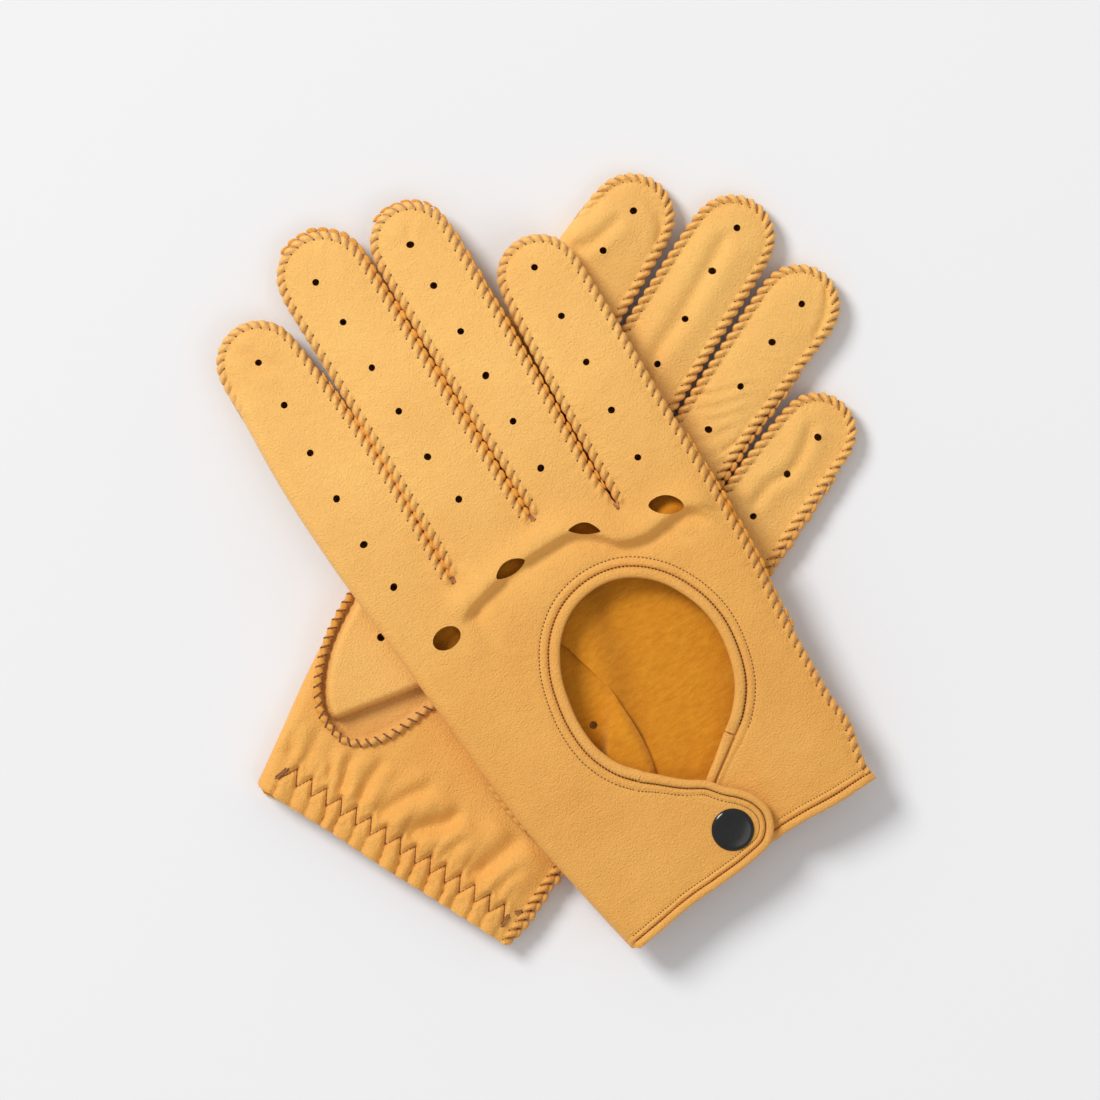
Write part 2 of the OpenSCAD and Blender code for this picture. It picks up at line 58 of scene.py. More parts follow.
# the leather's thickness, and what differs between the two gloves
LEATHER = 0.9
PLAN = {
    "right": {
        # where the plan's origin lies on the table, and the turn in degrees
        "place": (60.1, -87.9),
        "turn": 33.4,
        "back_up": True,
        # height of the leaf that shows and of the one that faces the table, and how soon they rise
        "plump": 3.65,
        "low_plump": 3.65,
        "swell": 2.6,
        # root y, middle, half width, then the same at mid length, then the tip's x, y and radius
        "fingers": [(118, -40.7, 13.1, 165, -40.1, 14.6, -39.8, 202, 12.5),
                    (121, -12.6, 14.1, 165, -11.4, 13.5, -10.3, 213, 13.4),
                    (121, 13.6, 10.9, 160, 15.1, 11.7, 17, 207, 12),
                    (110, 39.1, 13.9, 150, 41.1, 13.4, 43, 178, 12.2)],
        # the folded edge upwards, the sewn edge below the little finger downwards, then each
        # finger's perforations
        "fold": [(-43, -2), (-45, 10), (-46.5, 20), (-49.3, 40), (-51, 60), (-51.8, 80),
                 (-53, 110), (-54.5, 140), (-54.4, 170), (-53, 190)],
        "side": [(54.5, 150), (53.5, 130), (52.5, 100), (51, 75), (48.8, 58), (47.5, 40),
                 (46.8, 28), (47.2, 18), (45.5, 11), (44.3, 5), (44.5, 0.5)],
        "perforations": [
            [(-39.8, 202), (-40.3, 187.3), (-41.6, 171.3), (-42.5, 155.8), (-43.2, 140.2),
             (-42.7, 125)],
            [(-12.8, 212.5), (-12.5, 198.2), (-12.8, 182.3), (-13.2, 167.2), (-13.5, 151.4),
             (-12.7, 136)],
            [(16.5, 206.4), (15.6, 192.5), (14.8, 176.8), (13.8, 161.9), (13.1, 146.3),
             (12.3, 130.4)],
            [(43.2, 180.6), (41.9, 164.3), (40.5, 149), (38.9, 133.2), (37.7, 117.4)]],
        # the sewn edge's ribs: width, height, roundness, the stitches' slant, and the scallops'
        # depth, then the place of the last stitch
        "rib_depth": 2.35,
        "rib_height": 1.45,
        "rib_round": 0.7,
        "slant": 0.75,
        "scallop": 0.5,
        "last_stitch": (45.5, 6),
        # how big the raw edges' lumps are: each finger's tip, its right flank, then the side's points
        "beads": [(0, 0.9), (0.95, 1.2), (0.6, 0.8), (0, 0)],
        "side_beads": [0, 0, 0.75, 0.85, 0.75, 0, 0, 0, 0, 0, 0],
        # the y of the palm's hem
        "palm_wrist": 1.2,
        "thumb_side": [(-22, 25.5), (-15, 30), (-9, 37), (-7, 44), (-6.2, 52), (-6.2, 60), (-7, 68),
                       (-9, 77), (-11, 84)],
    },
    "left": {
        "place": (-47.2, -87.6),
        "turn": -33.0,
        "back_up": False,
        "plump": 3.95,
        "low_plump": 3.1,
        "swell": 3.4,
        "fingers": [(118, -42.5, 13, 172, -42.9, 14.3, -42.5, 198.5, 12.7),
                    (121, -13.2, 13.2, 172, -13.9, 13.1, -14.2, 209.5, 12.6),
                    (121, 12, 10.8, 160, 11.4, 10.9, 13.2, 203.3, 12.2),
                    (110, 36.8, 12.4, 150, 36.1, 12.1, 38, 175, 11.6)],
        "fold": [(-44, -1.5), (-46, 12), (-49.5, 35), (-51.5, 55), (-53.5, 80), (-55.2, 110),
                 (-57, 145), (-57.2, 170), (-56.4, 188)],
        "side": [(48.6, 150), (48.4, 125), (48.4, 100), (48.4, 85), (47.2, 60), (45.4, 35),
                 (44.5, 10), (44, -1.6)],
        "perforations": [
            [(-42.9, 200.2), (-44, 185.5), (-44, 170), (-43.8, 155), (-43.5, 140), (-43, 125)],
            [(-14.6, 212.6), (-13.8, 198), (-12.8, 181.8), (-12.4, 166.2), (-12.5, 151),
             (-12.8, 136)],
            [(13.6, 204.2), (12.4, 190), (11.7, 174), (10.7, 158.2), (11, 144), (11.5, 130.4)],
            [(39, 173.9), (37.3, 159.9), (35.7, 144), (35.9, 131), (36.2, 117.4)]],
        "rib_depth": 2.4,
        "rib_height": 1.9,
        "rib_round": 0.85,
        "slant": 1.0,
        "scallop": 0.85,
        "last_stitch": (44, 0.5),
        "beads": [(0, 0), (0, 0), (0, 0.8), (0, 1)],
        "side_beads": [1, 1, 1, 1, 1, 1, 1, 1],
        "palm_wrist": -1.8,
        "thumb_side": [(-24.5, 25.5), (-20.5, 29.6), (-17.5, 35), (-14.5, 43), (-11, 52), (-8.5, 62),
                       (-9, 72), (-13, 82)],
    },
}

# the y of each gap between two fingers
CROTCHES = (117.5, 120, 109.3)
# the thumb hole's outline, which goes on round the palm along each glove's own thumb_side
THUMB_HOLE_LEFT = [(-51, 62), (-50.6, 52), (-49, 43), (-46.5, 36), (-43, 30), (-39, 26), (-34, 24),
                   (-29, 23.3)]
THUMB_HOLE_TOP = [(-22, 89), (-34, 88), (-44, 79), (-50, 70)]

# the outlines of the keyhole opening, the strap, the flap under it, and the wrist on both sides
KEYHOLE = [(14, 35.5), (20, 40), (25, 46), (28.5, 55), (29.8, 65), (27, 77), (22, 85),
           (15, 90.5), (5, 92.5), (-3, 90.8), (-10, 86), (-15.6, 78), (-18.6, 69),
           (-19.8, 60), (-19, 52), (-16, 45), (-12, 40)]
STRAP = [(-9, 37), (-3, 31), (2.5, 27), (6, 22.5), (9, 19.5), (12, 15), (13, 10), (11.5, 5.5),
         (8, 2), (0, 0.3), (-9, -0.25), (-12, -0.4)]
FLAP = [(5, 1.6), (-3, 2.2), (-6, 5), (-6.5, 10), (-5.5, 16), (-2.5, 22), (2.5, 27.2), (8, 31)]
WRIST_LEFT = [(-20, -0.6), (-30, -1.7), (-41, -3)]
WRIST_RIGHT = [(30, 0.8), (20, 1.6), (12, 1.7)]
# the strap is cut from the back along this x; the second x, the end of its hinge, is not used to bend it
CUT_X = -12
HINGE_END_X = -6
STRAP_CORNER = (CUT_X, -0.4)
SNAP = (1, 11)

# x, y, half length, half width, turn in degrees, and how round the lower side is
KNUCKLES = [(-38, 104, 4.4, 3.2, 0, 1.0), (-11.3, 110.5, 4.9, 2.7, 0, 0.6),
            (12.8, 108, 4.7, 2.6, -35, 0.35), (36.8, 101, 5.2, 3.2, -35, 0.75)]
PERFORATION_R = 1.1
PERFORATION_STAGGER = 7.5
# the ridge that joins the knuckle holes, and a fold of the palm that shows through the keyhole
RIDGE = [(-34, 105.5), (-26.3, 108.2), (-16.7, 110.3), (-7, 111), (0.4, 111), (9, 110.2),
         (15.6, 105.4), (19.5, 100.6), (26.2, 97.9), (33.3, 98), (41.4, 98), (48.3, 90.5)]
SUEDE_FOLD = [(6, 92), (2.7, 81), (1.4, 73.2), (-2.8, 62), (-8, 50)]

# the thumb's seam runs through the first points of the thumb hole, and its tip is round
THUMB_SEAM_POINTS = 14
THUMB_TIP = (-18, 104)
THUMB_TIP_R = 13
THUMB_PERFORATION = {"right": (-16.3, 59), "left": (-36.8, 54.5)}

# spacing of the overcast stitches and of the thumb's, half the height of the sewn edges on the
# fingers' flanks and elsewhere, and the radius of the folded edge
PITCH = 3.25
THUMB_PITCH = 2.9
FLANK_EDGE = 2.3
TIP_EDGE = 0.9
FOLD_R = 4.2
# heights of the thumb: its folded top, its tip's edge, and how far its sunk part is below the palm
THUMB_TOP = 5.75
THUMB_TIP_EDGE = 3.95
THUMB_SINK = 2.7
# the bindings: width, spacing and length of their stitches, and the two rows' insets
BEAD = 3.0
ROLL_SIDES = 16
NOTCH_PITCH = 0.95
NOTCH_LENGTH = 0.46
SEAM_INSET = 3.15
TOPSTITCH_INSET = 5.75
# spacing of the mesh's points inside a sheet, and along its outline
SHEET_GRID = 1.25
EDGE_STEP = 0.42 * COARSE
# the zigzag seam's shape, its stitches' length and spacing, and each bar tack's x, y, turn and length
ZIGZAG_STITCH = 2.12
ZIGZAG_STEP = 2.129
ZIGZAG = {"pitch": 5.2, "low": 3.8, "high": 8.6, "first": -39.0, "count": 15}
WRIST_TACKS = [(-39.4, 5.0, 78, 5.2), (39.3, 4.4, 82, 4.6), (41.2, 8.6, 60, 2.4)]

# points, depth and width of the soft creases that use has left in each glove
CREASES = {
    "right": [([(6.1, 163), (9.4, 162), (13.4, 162.1)], 0.1, 0.5),
              ([(7, 159.5), (10, 159), (13, 160)], 0.09, 0.5),
              ([(18.3, 213.6), (18.1, 209.7), (16.8, 206.6)], 0.57, 1.4),
              ([(-44.3, 209.3), (-40.7, 205.3), (-39.2, 200.4), (-34.6, 196.6)], 0.57, 1.8),
              ([(-4, 119), (-0.4, 117.4), (3, 118.3)], 0.3, 1.2),
              ([(-35, 152), (-39, 153), (-45, 151), (-50, 147)], 0.1, 0.6),
              ([(28, 141), (35, 138), (43, 139)], 0.1, 0.6),
              ([(15.6, 103.8), (17.2, 101), (18.2, 97.5)], 0.6, 0.8),
              ([(42.5, 97.3), (46.2, 93.8), (49.9, 89.7)], 0.35, 0.8),
              ([(33.3, 96.4), (34.5, 92.4), (38.7, 87.4)], 0.4, 1.3),
              ([(-28.6, 117.8), (-24.8, 112), (-27, 104), (-28, 92)], 0.4, 2.0),
              ([(-30, 96), (-27, 86), (-26, 74)], 0.2, 1.6)],
    "left": [([(33.9, 144), (34.9, 155), (37.3, 160), (37.6, 168), (34.8, 178)], 0.8, 1.5),
             ([(-14.2, 150), (-14.6, 168), (-14.5, 184), (-15, 196), (-16.3, 211)], 0.88, 2.0),
             ([(-52.4, 179.7), (-48.4, 185.1), (-46.2, 191.8), (-44.8, 198.3)], 0.8, 1.6),
             ([(-43, 205.6), (-37.1, 203.8), (-33.5, 200.5), (-31.5, 194)], 0.56, 1.1),
             ([(0.4, 163.4), (6.6, 168.3), (12.1, 174.3), (17, 178.3)], 0.35, 0.7),
             ([(3.9, 160.9), (10.1, 165.9), (15.8, 174.3)], 0.38, 0.6),
             ([(7.6, 158.1), (13.1, 164.1), (17.1, 169.5)], 0.38, 0.6),
             ([(6, 151), (11.5, 155), (15.2, 160.8), (17.7, 165.7)], 0.42, 0.6),
             ([(5, 143), (10, 147), (16.5, 153.1), (20.7, 162.5)], 0.42, 0.6),
             ([(4, 136), (9, 139), (15, 144), (20, 150)], 0.35, 0.6),
             ([(3, 129), (8, 132), (14, 136), (20, 141)], 0.32, 0.6),
             ([(11.1, 181.6), (16.2, 185.3), (21.5, 187.4)], 0.24, 0.5),
             ([(9.8, 199.5), (16.5, 196.4), (21.1, 193.7)], 0.24, 0.6),
             ([(15, 214), (18.5, 210.3), (21.1, 204), (22, 197)], 0.56, 0.8),
             ([(-21.6, 7), (-23, 12.9), (-24.6, 18), (-24.4, 23)], 1.3, 1.3),
             ([(-15.4, 8.5), (-16.6, 14.4), (-16.7, 21.3), (-16.1, 26)], 1.1, 1.5),
             ([(-9, 8.1), (-7.1, 14.5), (-3.5, 21.2), (0.6, 27)], 1.1, 1.7),
             ([(2, 7.3), (3.3, 13.4), (8.6, 18.6), (11.3, 26)], 1.9, 2.3),
             ([(21.7, 7.9), (25.6, 13.9), (28.3, 21.8), (29.6, 29)], 1.7, 2.7),
             ([(-26.6, 9.7), (-28.1, 14), (-30.8, 18.5)], 0.9, 1.1),
             ([(-40.6, 8.4), (-41.6, 13.9), (-45.2, 18)], 0.9, 1.8),
             ([(32.6, 7.2), (33.1, 14.5), (35.6, 22)], 0.9, 1.4),
             ([(13, 7), (14, 13), (18, 20)], 0.6, 1.3),
             ([(-34.5, 8.5), (-36, 15), (-38, 24)], 0.5, 1.4)],
}


# ---------------------------------------------------------------- small mathematics

def step_up(a, b, x):
    """0 before a, 1 after b, and smooth between."""
    t = np.clip((np.asarray(x, float) - a) / (b - a), 0, 1)
    return t * t * (3 - 2 * t)


def bump(x, middle, width):
    """1 at the middle, fading smoothly to 0 about two widths away."""
    return np.exp(-(((np.asarray(x, float) - middle) / width) ** 2))


def value_noise(x, y, size, seed):
    """Smooth noise from -1 to 1, with lumps about that size."""
    u, v = np.asarray(x, float) / size + 100, np.asarray(y, float) / size + 100
    i, j = np.floor(u).astype(np.int64), np.floor(v).astype(np.int64)
    fu, fv = u - i, v - j
    fu, fv = fu * fu * (3 - 2 * fu), fv * fv * (3 - 2 * fv)

    def corner(a, b):
        n = (a * 73856093) ^ (b * 19349663) ^ (seed * 83492791)
        n = (n ^ (n >> 13)) * 1274126177
        return ((n ^ (n >> 16)) & 0xFFFF) / 32767.5 - 1

    low = corner(i, j) * (1 - fu) + corner(i + 1, j) * fu
    high = corner(i, j + 1) * (1 - fu) + corner(i + 1, j + 1) * fu
    return low * (1 - fv) + high * fv


def smooth_path(points, step):
    """A smooth path through the points, sampled evenly, and each sample's place among the points."""
    p = np.asarray(points, float)
    gap = np.linalg.norm(np.diff(p, axis=0), axis=1)
    way = np.diff(p, axis=0) / gap[:, None]
    slope = np.empty_like(p)
    slope[0], slope[-1] = way[0], way[-1]
    both = (gap[1:] + gap[:-1])[:, None]
    slope[1:-1] = (way[:-1] * gap[1:, None] + way[1:] * gap[:-1, None]) / both
    out, place = [], []
    for i, g in enumerate(gap):
        t = np.linspace(0, 1, max(4, int(g / 0.15)), endpoint=False)[:, None]
        pull_in = min(g, 1.5 * gap[max(i - 1, 0)])
        pull_out = min(g, 1.5 * gap[min(i + 1, len(gap) - 1)])
        out.append((2 * t**3 - 3 * t**2 + 1) * p[i] + (t**3 - 2 * t**2 + t) * pull_in * slope[i]
                   + (3 * t**2 - 2 * t**3) * p[i + 1] + (t**3 - t**2) * pull_out * slope[i + 1])
        place.append(i + t[:, 0])
    out, place = np.vstack(out + [p[-1:]]), np.append(np.concatenate(place), len(p) - 1)
    s = np.append(0, np.cumsum(np.linalg.norm(np.diff(out, axis=0), axis=1)))
    even = np.linspace(0, s[-1], max(2, int(round(s[-1] / step)) + 1))
    path = np.column_stack([np.interp(even, s, out[:, k]) for k in (0, 1)])
    return path, np.interp(even, s, place)


class Line:
    """A path in a glove's plan, its leather to the right of the way it runs, with values along it."""

    def __init__(self, points, step=0.2, **values):
        self.p, place = smooth_path(points, step)
        seg = np.diff(self.p, axis=0)
        self.s = np.append(0, np.cumsum(np.linalg.norm(seg, axis=1)))
        way = np.gradient(self.p, axis=0)
        way /= np.linalg.norm(way, axis=1)[:, None]
        self.inward = np.column_stack([way[:, 1], -way[:, 0]])
        numbers = np.arange(len(points))
        self.values = {k: np.interp(place, numbers, v) for k, v in values.items()}
        self.tree = KDTree(len(self.p))
        for i, (x, y) in enumerate(self.p):
            self.tree.insert((x, y, 0), i)
        self.tree.balance()

    def at(self, s, inset=0.0):
        """The points at lengths s along the line, inset into the leather."""
        p = np.column_stack([np.interp(s, self.s, self.p[:, k]) for k in (0, 1)])
        n = np.column_stack([np.interp(s, self.s, self.inward[:, k]) for k in (0, 1)])
        n /= np.linalg.norm(n, axis=1)[:, None]
        return p + n * np.reshape(inset, (-1, 1))

    def value(self, name, s):
        return np.interp(s, self.s, self.values[name])

    def near(self, xy):
        """Distance of each point from the line, and the length along the line at its nearest place."""
        index = np.array([self.tree.find((x, y, 0))[1] for x, y in xy])
        best = np.full(len(xy), np.inf)
        s = np.zeros(len(xy))
        for before in (-1, 0):
            i = np.clip(index + before, 0, len(self.p) - 2)
            a, seg = self.p[i], self.p[i + 1] - self.p[i]
            length = np.linalg.norm(seg, axis=1)
            t = np.clip(((xy - a) * seg).sum(1) / length**2, 0, 1)
            d = np.linalg.norm(xy - a - seg * t[:, None], axis=1)
            closer = d < best
            best[closer] = d[closer]
            s[closer] = (self.s[i] + t * length)[closer]
        return best, s

    def place_of(self, xy):
        return self.near(np.array([xy], float))[1][0]


def inside(xy, loop):
    """Which points are inside a closed loop."""
    result = np.zeros(len(xy), bool)
    a, b = loop, np.roll(loop, -1, axis=0)
    for start in range(0, len(xy), 2000):
        x, y = xy[start:start + 2000, 0, None], xy[start:start + 2000, 1, None]
        crosses = (a[:, 1] > y) != (b[:, 1] > y)
        with np.errstate(divide="ignore", invalid="ignore"):
            at = a[:, 0] + (y - a[:, 1]) * (b[:, 0] - a[:, 0]) / (b[:, 1] - a[:, 1])
        result[start:start + 2000] = (crosses & (x < at)).sum(1) % 2 == 1
    return result


def ellipse(x, y, a, b, turn, count):
    t = np.linspace(0, 2 * np.pi, count, endpoint=False)
    c, s = math.cos(math.radians(turn)), math.sin(math.radians(turn))
    u, v = a * np.cos(t), b * np.sin(t)
    return np.column_stack([x + u * c - v * s, y + u * s + v * c])


def grid(xs, ys):
    return np.column_stack([g.ravel() for g in np.meshgrid(xs, ys)])


# ---------------------------------------------------------------- the gloves' plans

class Glove:
    """One glove: where it lies, its edges in plan, and the heights of its leather."""

    def __init__(self, name):
        self.name = name
        self.body, self.strap_body = name + "_glove", name + "_strap"
        for key, value in PLAN[name].items():
            setattr(self, key, value)
        self.back_side = 1 if self.back_up else -1
        self.palm_side = -self.back_side
        angle = math.radians(self.turn)
        self.axes = np.array([[math.cos(angle), math.sin(angle)], [-math.sin(angle), math.cos(angle)]])
        self.thumb_hole = THUMB_HOLE_LEFT + self.thumb_side + THUMB_HOLE_TOP
        self.closing = self.closing_line()
        self.left_bound = Line(KEYHOLE + STRAP + WRIST_LEFT,
                               scale=[1] * len(KEYHOLE) + [0.9, 0.75] + [0.7] * (len(STRAP) + 1))
        self.right_bound = Line([(44.5, 0.5)] + WRIST_RIGHT + FLAP + KEYHOLE,
                                scale=[0.75] * 4 + [0.8] * len(FLAP) + [1] * len(KEYHOLE))
        self.thumb_rope = Line(self.thumb_hole[:THUMB_SEAM_POINTS])
        self.thumb_edge = Line(self.thumb_outline()[THUMB_SEAM_POINTS - 1:] + self.thumb_hole[:1])
        self.suede_fold = Line(SUEDE_FOLD)
        self.creases = [(Line(points), depth, width) for points, depth, width in CREASES[name]]
        self.ridge = Line(RIDGE)

    def closing_line(self):
        """The edge where palm and back meet: up the fold, round the fingers and down the side."""
        points, edge, rib, beads = [], [], [], []

        def add(more, e, r, b=0):
            points.extend(more)
            edge.extend([e] * len(more))
            rib.extend([r] * len(more))
            beads.extend([b] * len(more))

        add(self.fold, 0, 0)
        for i, (y0, c0, w0, y1, c1, w1, tx, ty, tr) in enumerate(self.fingers):
            if i > 0:
                add([(c0 - w0, y0), (c1 - w1, y1)], FLANK_EDGE, 1)
            turns = np.radians(np.linspace(176, 4, 9))
            tip = [(tx + tr * math.cos(a), ty + tr * math.sin(a)) for a in turns]
            add(tip[:3], TIP_EDGE, 1)
            add(tip[3:], TIP_EDGE, 1, self.beads[i][0])
            if i < 3:
                add([(c1 + w1, y1), (c0 + w0, y0)], FLANK_EDGE, 1, self.beads[i][1])
                next_left = self.fingers[i + 1][1] - self.fingers[i + 1][2]
                add([((c0 + w0 + next_left) / 2, CROTCHES[i])], FLANK_EDGE, 0)
        for point, size in zip(self.side, self.side_beads):
            add([point], TIP_EDGE, 1, size)
        return Line(points, edge=edge, rib=rib, beads=beads)

    def thumb_outline(self):
        tip = [(THUMB_TIP[0] + THUMB_TIP_R * math.cos(a), THUMB_TIP[1] + THUMB_TIP_R * math.sin(a))
               for a in np.radians(np.linspace(0, 180, 9))]
        seam = self.thumb_hole[:THUMB_SEAM_POINTS]
        return seam + [(-6.0, 74), (-5.4, 88)] + tip + [(-36, 94), (-46.5, 83), (-50.9, 71)]

    def middle(self, xy):
        """Height of the glove's middle plane above the table."""
        y = np.asarray(xy)[:, 1]
        if self.back_up:
            return 17.3 - (y - 104) ** 2 / 1600 - 3.0 * step_up(135, 215, y)
        return 4.5 - 0.9 * step_up(115, 190, y)

    def row(self, xy, height):
        """Points of the plan, with heights from the middle plane, in the row frame."""
        flat = np.asarray(xy) @ self.axes + self.place
        return np.column_stack([flat, self.middle(xy) + height])

    def strands(self, side, flat, height):
        """The plan's points as paths, one for each row of the heights."""
        return self.row(flat, side * height.ravel()).reshape(height.shape + (3,))

    # heights

    def pillow(self, xy, shown, fine=True):
        """Height of a leaf's outside over its whole plan, with the sewn edge's ribs if fine.

        The leaf that faces the table is pressed flatter, and has no creases."""
        plump, relief = (self.plump, 1.0) if shown else (self.low_plump, 0.5)
        x, y = xy[:, 0], xy[:, 1]
        d, s = self.closing.near(xy)
        edge, rib = self.closing.value("edge", s), self.closing.value("rib", s)
        folded = 1 - step_up(0.05, 0.7, edge)
        full = plump + 0.3 * value_noise(x, y, 17, 3) + 0.12 * value_noise(x, y, 6, 4)
        sewn_rise = 1 - np.exp(-d / self.swell)
        fold_rise = np.sqrt(1 - (1 - np.minimum(d / FOLD_R, 1)) ** 2)
        rise = sewn_rise * (1 - folded) + fold_rise * folded
        lean = 2.0 * step_up(24, 46, x) * step_up(112, 132, y) * (not self.back_up and shown)
        height = edge + (full - lean - edge) * rise
        if not fine:
            return height
        for line, depth, width in self.creases if shown else []:
            along, at = line.near(xy)
            ends = step_up(0, 4, at) * (1 - step_up(line.s[-1] - 4, line.s[-1], at))
            shoulders = 0.7 * bump(along, 2.2 * width, 1.6 * width)
            height += ends * depth * (shoulders - bump(along, 0, width))
        puckers = value_noise(s + 0.6 * d, d * 0.25, 1.5, 12)
        height += rib * 0.16 * puckers * bump(d, self.rib_depth + 1.4, 1.7)
        height += rib * relief * 0.5 * bump(d, 1.1, 1.0)
        height += rib * relief * self.rib_height * self.rib_envelope(d) * (self.rib_wave(d, s) - 0.45)
        return height - rib * 0.6 * np.clip(1 - d / 0.7, 0, 1) ** 2

    def rib_envelope(self, d):
        return step_up(-0.4, 0.5, d) * (1 - step_up(self.rib_depth - 0.8, self.rib_depth + 0.25, d))

    def rib_wave(self, d, s):
        """1 on the crest of a rib, and 0 in the groove where a stitch lies."""
        return np.abs(np.sin(np.pi * (s - self.slant * d) / PITCH)) ** self.rib_round

    def bound_detail(self, line, xy):
        """Groove of the binding's seam, the soft band beside it, and the groove of the topstitch."""
        d, s = line.near(xy)
        c = line.value("scale", s)
        under = -0.55 * (1 - step_up(2.7 * c, 3.05 * c, d))
        seam = -0.35 * bump(d, 3.15 * c, 0.3)
        band = 0.24 * bump(d, 4.4 * c, 0.85 * c)
        top = -0.24 * bump(d, 5.75 * c, 0.32)
        return under + seam + band + top

    def knuckle_folds(self, xy):
        """The soft ridge that the knuckle holes leave when the leather relaxes."""
        s = self.ridge.near(xy)[1]
        nearest = np.clip(np.searchsorted(self.ridge.s, s), 0, len(self.ridge.p) - 1)
        side = ((xy - self.ridge.at(s)) * self.ridge.inward[nearest]).sum(1)
        ends = step_up(0, 8, s) * (1 - step_up(self.ridge.s[-1] - 8, self.ridge.s[-1], s))
        above = np.exp(-((np.minimum(side, 0) / 5.5) ** 2))
        below = np.exp(-((np.maximum(side, 0) / 1.3) ** 2))
        crest = 2.0 * np.where(side < 0, above, below)
        trough = -1.15 * bump(side, 2.6, 2.2) - 0.6 * bump(side, 5.5, 3.8)
        return ends * (crest + trough)

    def back(self, xy, strap=False, fine=True):
        """Height of the back leaf's outside, or of the strap's."""
        x, y = xy[:, 0], xy[:, 1]
        height = self.pillow(xy, self.back_up, fine)
        if strap:
            return height + (self.bound_detail(self.left_bound, xy) if fine else 0)
        right_part = x > CUT_X + 0.5
        dip = (1 - step_up(11.5, 21, x)) * (1 - step_up(36, 44, y)) * right_part
        height = height - 2.6 * dip
        if fine:
            detail = np.where(right_part, self.bound_detail(self.right_bound, xy),
                              self.bound_detail(self.left_bound, xy))
            height = height + detail + self.knuckle_folds(xy) * (1.0 if self.back_up else 0.2)
        return height

    def plain_back(self, xy):
        return self.back(xy, fine=False)

    def strap_top(self, xy):
        return self.back(xy, strap=True)

    def plain_strap(self, xy):
        return self.back(xy, strap=True, fine=False)

    def plain_palm(self, xy):
        return self.palm(xy, fine=False)

    def palm(self, xy, fine=True):
        """Height of the palm leaf's outside, gathered by the elastic at the wrist."""
        height = self.pillow(xy, not self.back_up, fine)
        if self.back_up:
            height += 0.9 * bump(self.suede_fold.near(xy)[0], 0, 3.6)
            height -= (2.4 + 1.4 * step_up(20, 30, xy[:, 0])) * bump(self.ridge.near(xy)[0], 0, 5.5)
        if not fine:
            return height
        return height + gathers(xy)

    def thumb(self, xy):
        """Height of the thumb's outer wall, which lies folded over the palm and is sewn down to it."""
        x, y = xy[:, 0], xy[:, 1]
        from_rope = self.thumb_rope.near(xy)[0] + 9 * step_up(62, 72, y)
        past = step_up(52, 70, y)
        level = self.plump - THUMB_SINK
        fold = self.thumb_fold(xy)
        round_off = np.sqrt(1 - (1 - np.clip((fold + 0.2) / 2.2, 0, 1)) ** 2)
        lift = round_off * step_up(0.8, 4.0, from_rope)
        wall = 1.8 * (1 - step_up(0.2, 1.4, from_rope))
        tip = self.thumb_edge.near(xy)[0]
        height = level + wall + lift * (THUMB_TOP - level) - 0.25 * value_noise(x, y, 11, 8) ** 2
        closing = 1 - np.exp(-tip / 1.6)
        height = (1 - past) * height + past * (THUMB_TIP_EDGE + (THUMB_TOP - THUMB_TIP_EDGE) * closing)
        on_palm = self.pillow(xy, not self.back_up, fine=False) + 0.85
        return np.minimum(height, on_palm + 1.3 * tip)

    def thumb_fold(self, xy):
        """Distance from the fold of the thumb, positive on the thumb's side."""
        a, b = np.array([-36, 24.5]), np.array([-19, 48.5])
        way = (b - a) / np.linalg.norm(b - a)
        return (xy - a) @ np.array([-way[1], way[0]]) + 0.5 * value_noise(xy[:, 0], xy[:, 1], 12, 9)


def gathers(xy):
    """Pleats that the elastic's zigzag seam draws up, deepest at the seam and fading above it."""
    x, y = xy[:, 0], xy[:, 1]
    pitch = ZIGZAG["pitch"]
    u = (x - ZIGZAG["first"]) / pitch
    within = step_up(-41.5, -38, x) * (1 - step_up(38, 41, x))
    lower = u + 0.10 * (y - 4) / 3 + 0.16 * value_noise(x, y * 0.4, 4.5, 23)
    puffs_low = np.abs(np.sin(np.pi * lower)) ** 0.6
    puffs_high = np.abs(np.sin(np.pi * (u + 0.5))) ** 0.8
    strength = 1 + 0.45 * value_noise(x, x * 0, 7, 24)
    low = (1 - step_up(2.6, 5.5, y)) * (puffs_low - 0.6) * 1.9 * strength
    high = step_up(6, 9, y) * np.exp(-np.maximum(y - 8.6, 0) / 5) * (puffs_high - 0.6) * 1.4 * strength
    d, _ = zigzag_line.near(xy)
    seam = -0.85 * bump(d, 0, 0.55) + 0.4 * bump(d, 1.5, 0.9)
    wide = np.exp(-np.maximum(y - 9, 0) / 11) * step_up(8, 12, y)
    wander = x + 2.5 * value_noise(x, y, 20, 21) + 0.12 * (y - 9) * np.sign(x)
    folds = 0.75 * value_noise(wander, np.full_like(x, 7.0), 5.2, 22) * wide
    hem = -1.1 * np.clip(1 - (y + 2.4) / 1.3, 0, 1) ** 2
    return within * (low + high + seam) + folds + hem


def zigzag_points():
    points = []
    for i in range(2 * ZIGZAG["count"] + 1):
        x = ZIGZAG["first"] + i * ZIGZAG["pitch"] / 2
        points.append((x, ZIGZAG["low"] if i % 2 == 0 else ZIGZAG["high"]))
    return points


class Polyline(Line):
    """A path of straight stretches."""

    def __init__(self, points, step=0.2):
        dense = [np.array(points[0], float)]
        for a, b in zip(points[:-1], points[1:]):
            a, b = np.array(a, float), np.array(b, float)
            count = max(1, int(np.linalg.norm(b - a) / step))
            dense.extend(a + (b - a) * (k + 1) / count for k in range(count))
        super().__init__(dense, step)


zigzag_line = Polyline(zigzag_points())


# ---------------------------------------------------------------- meshes

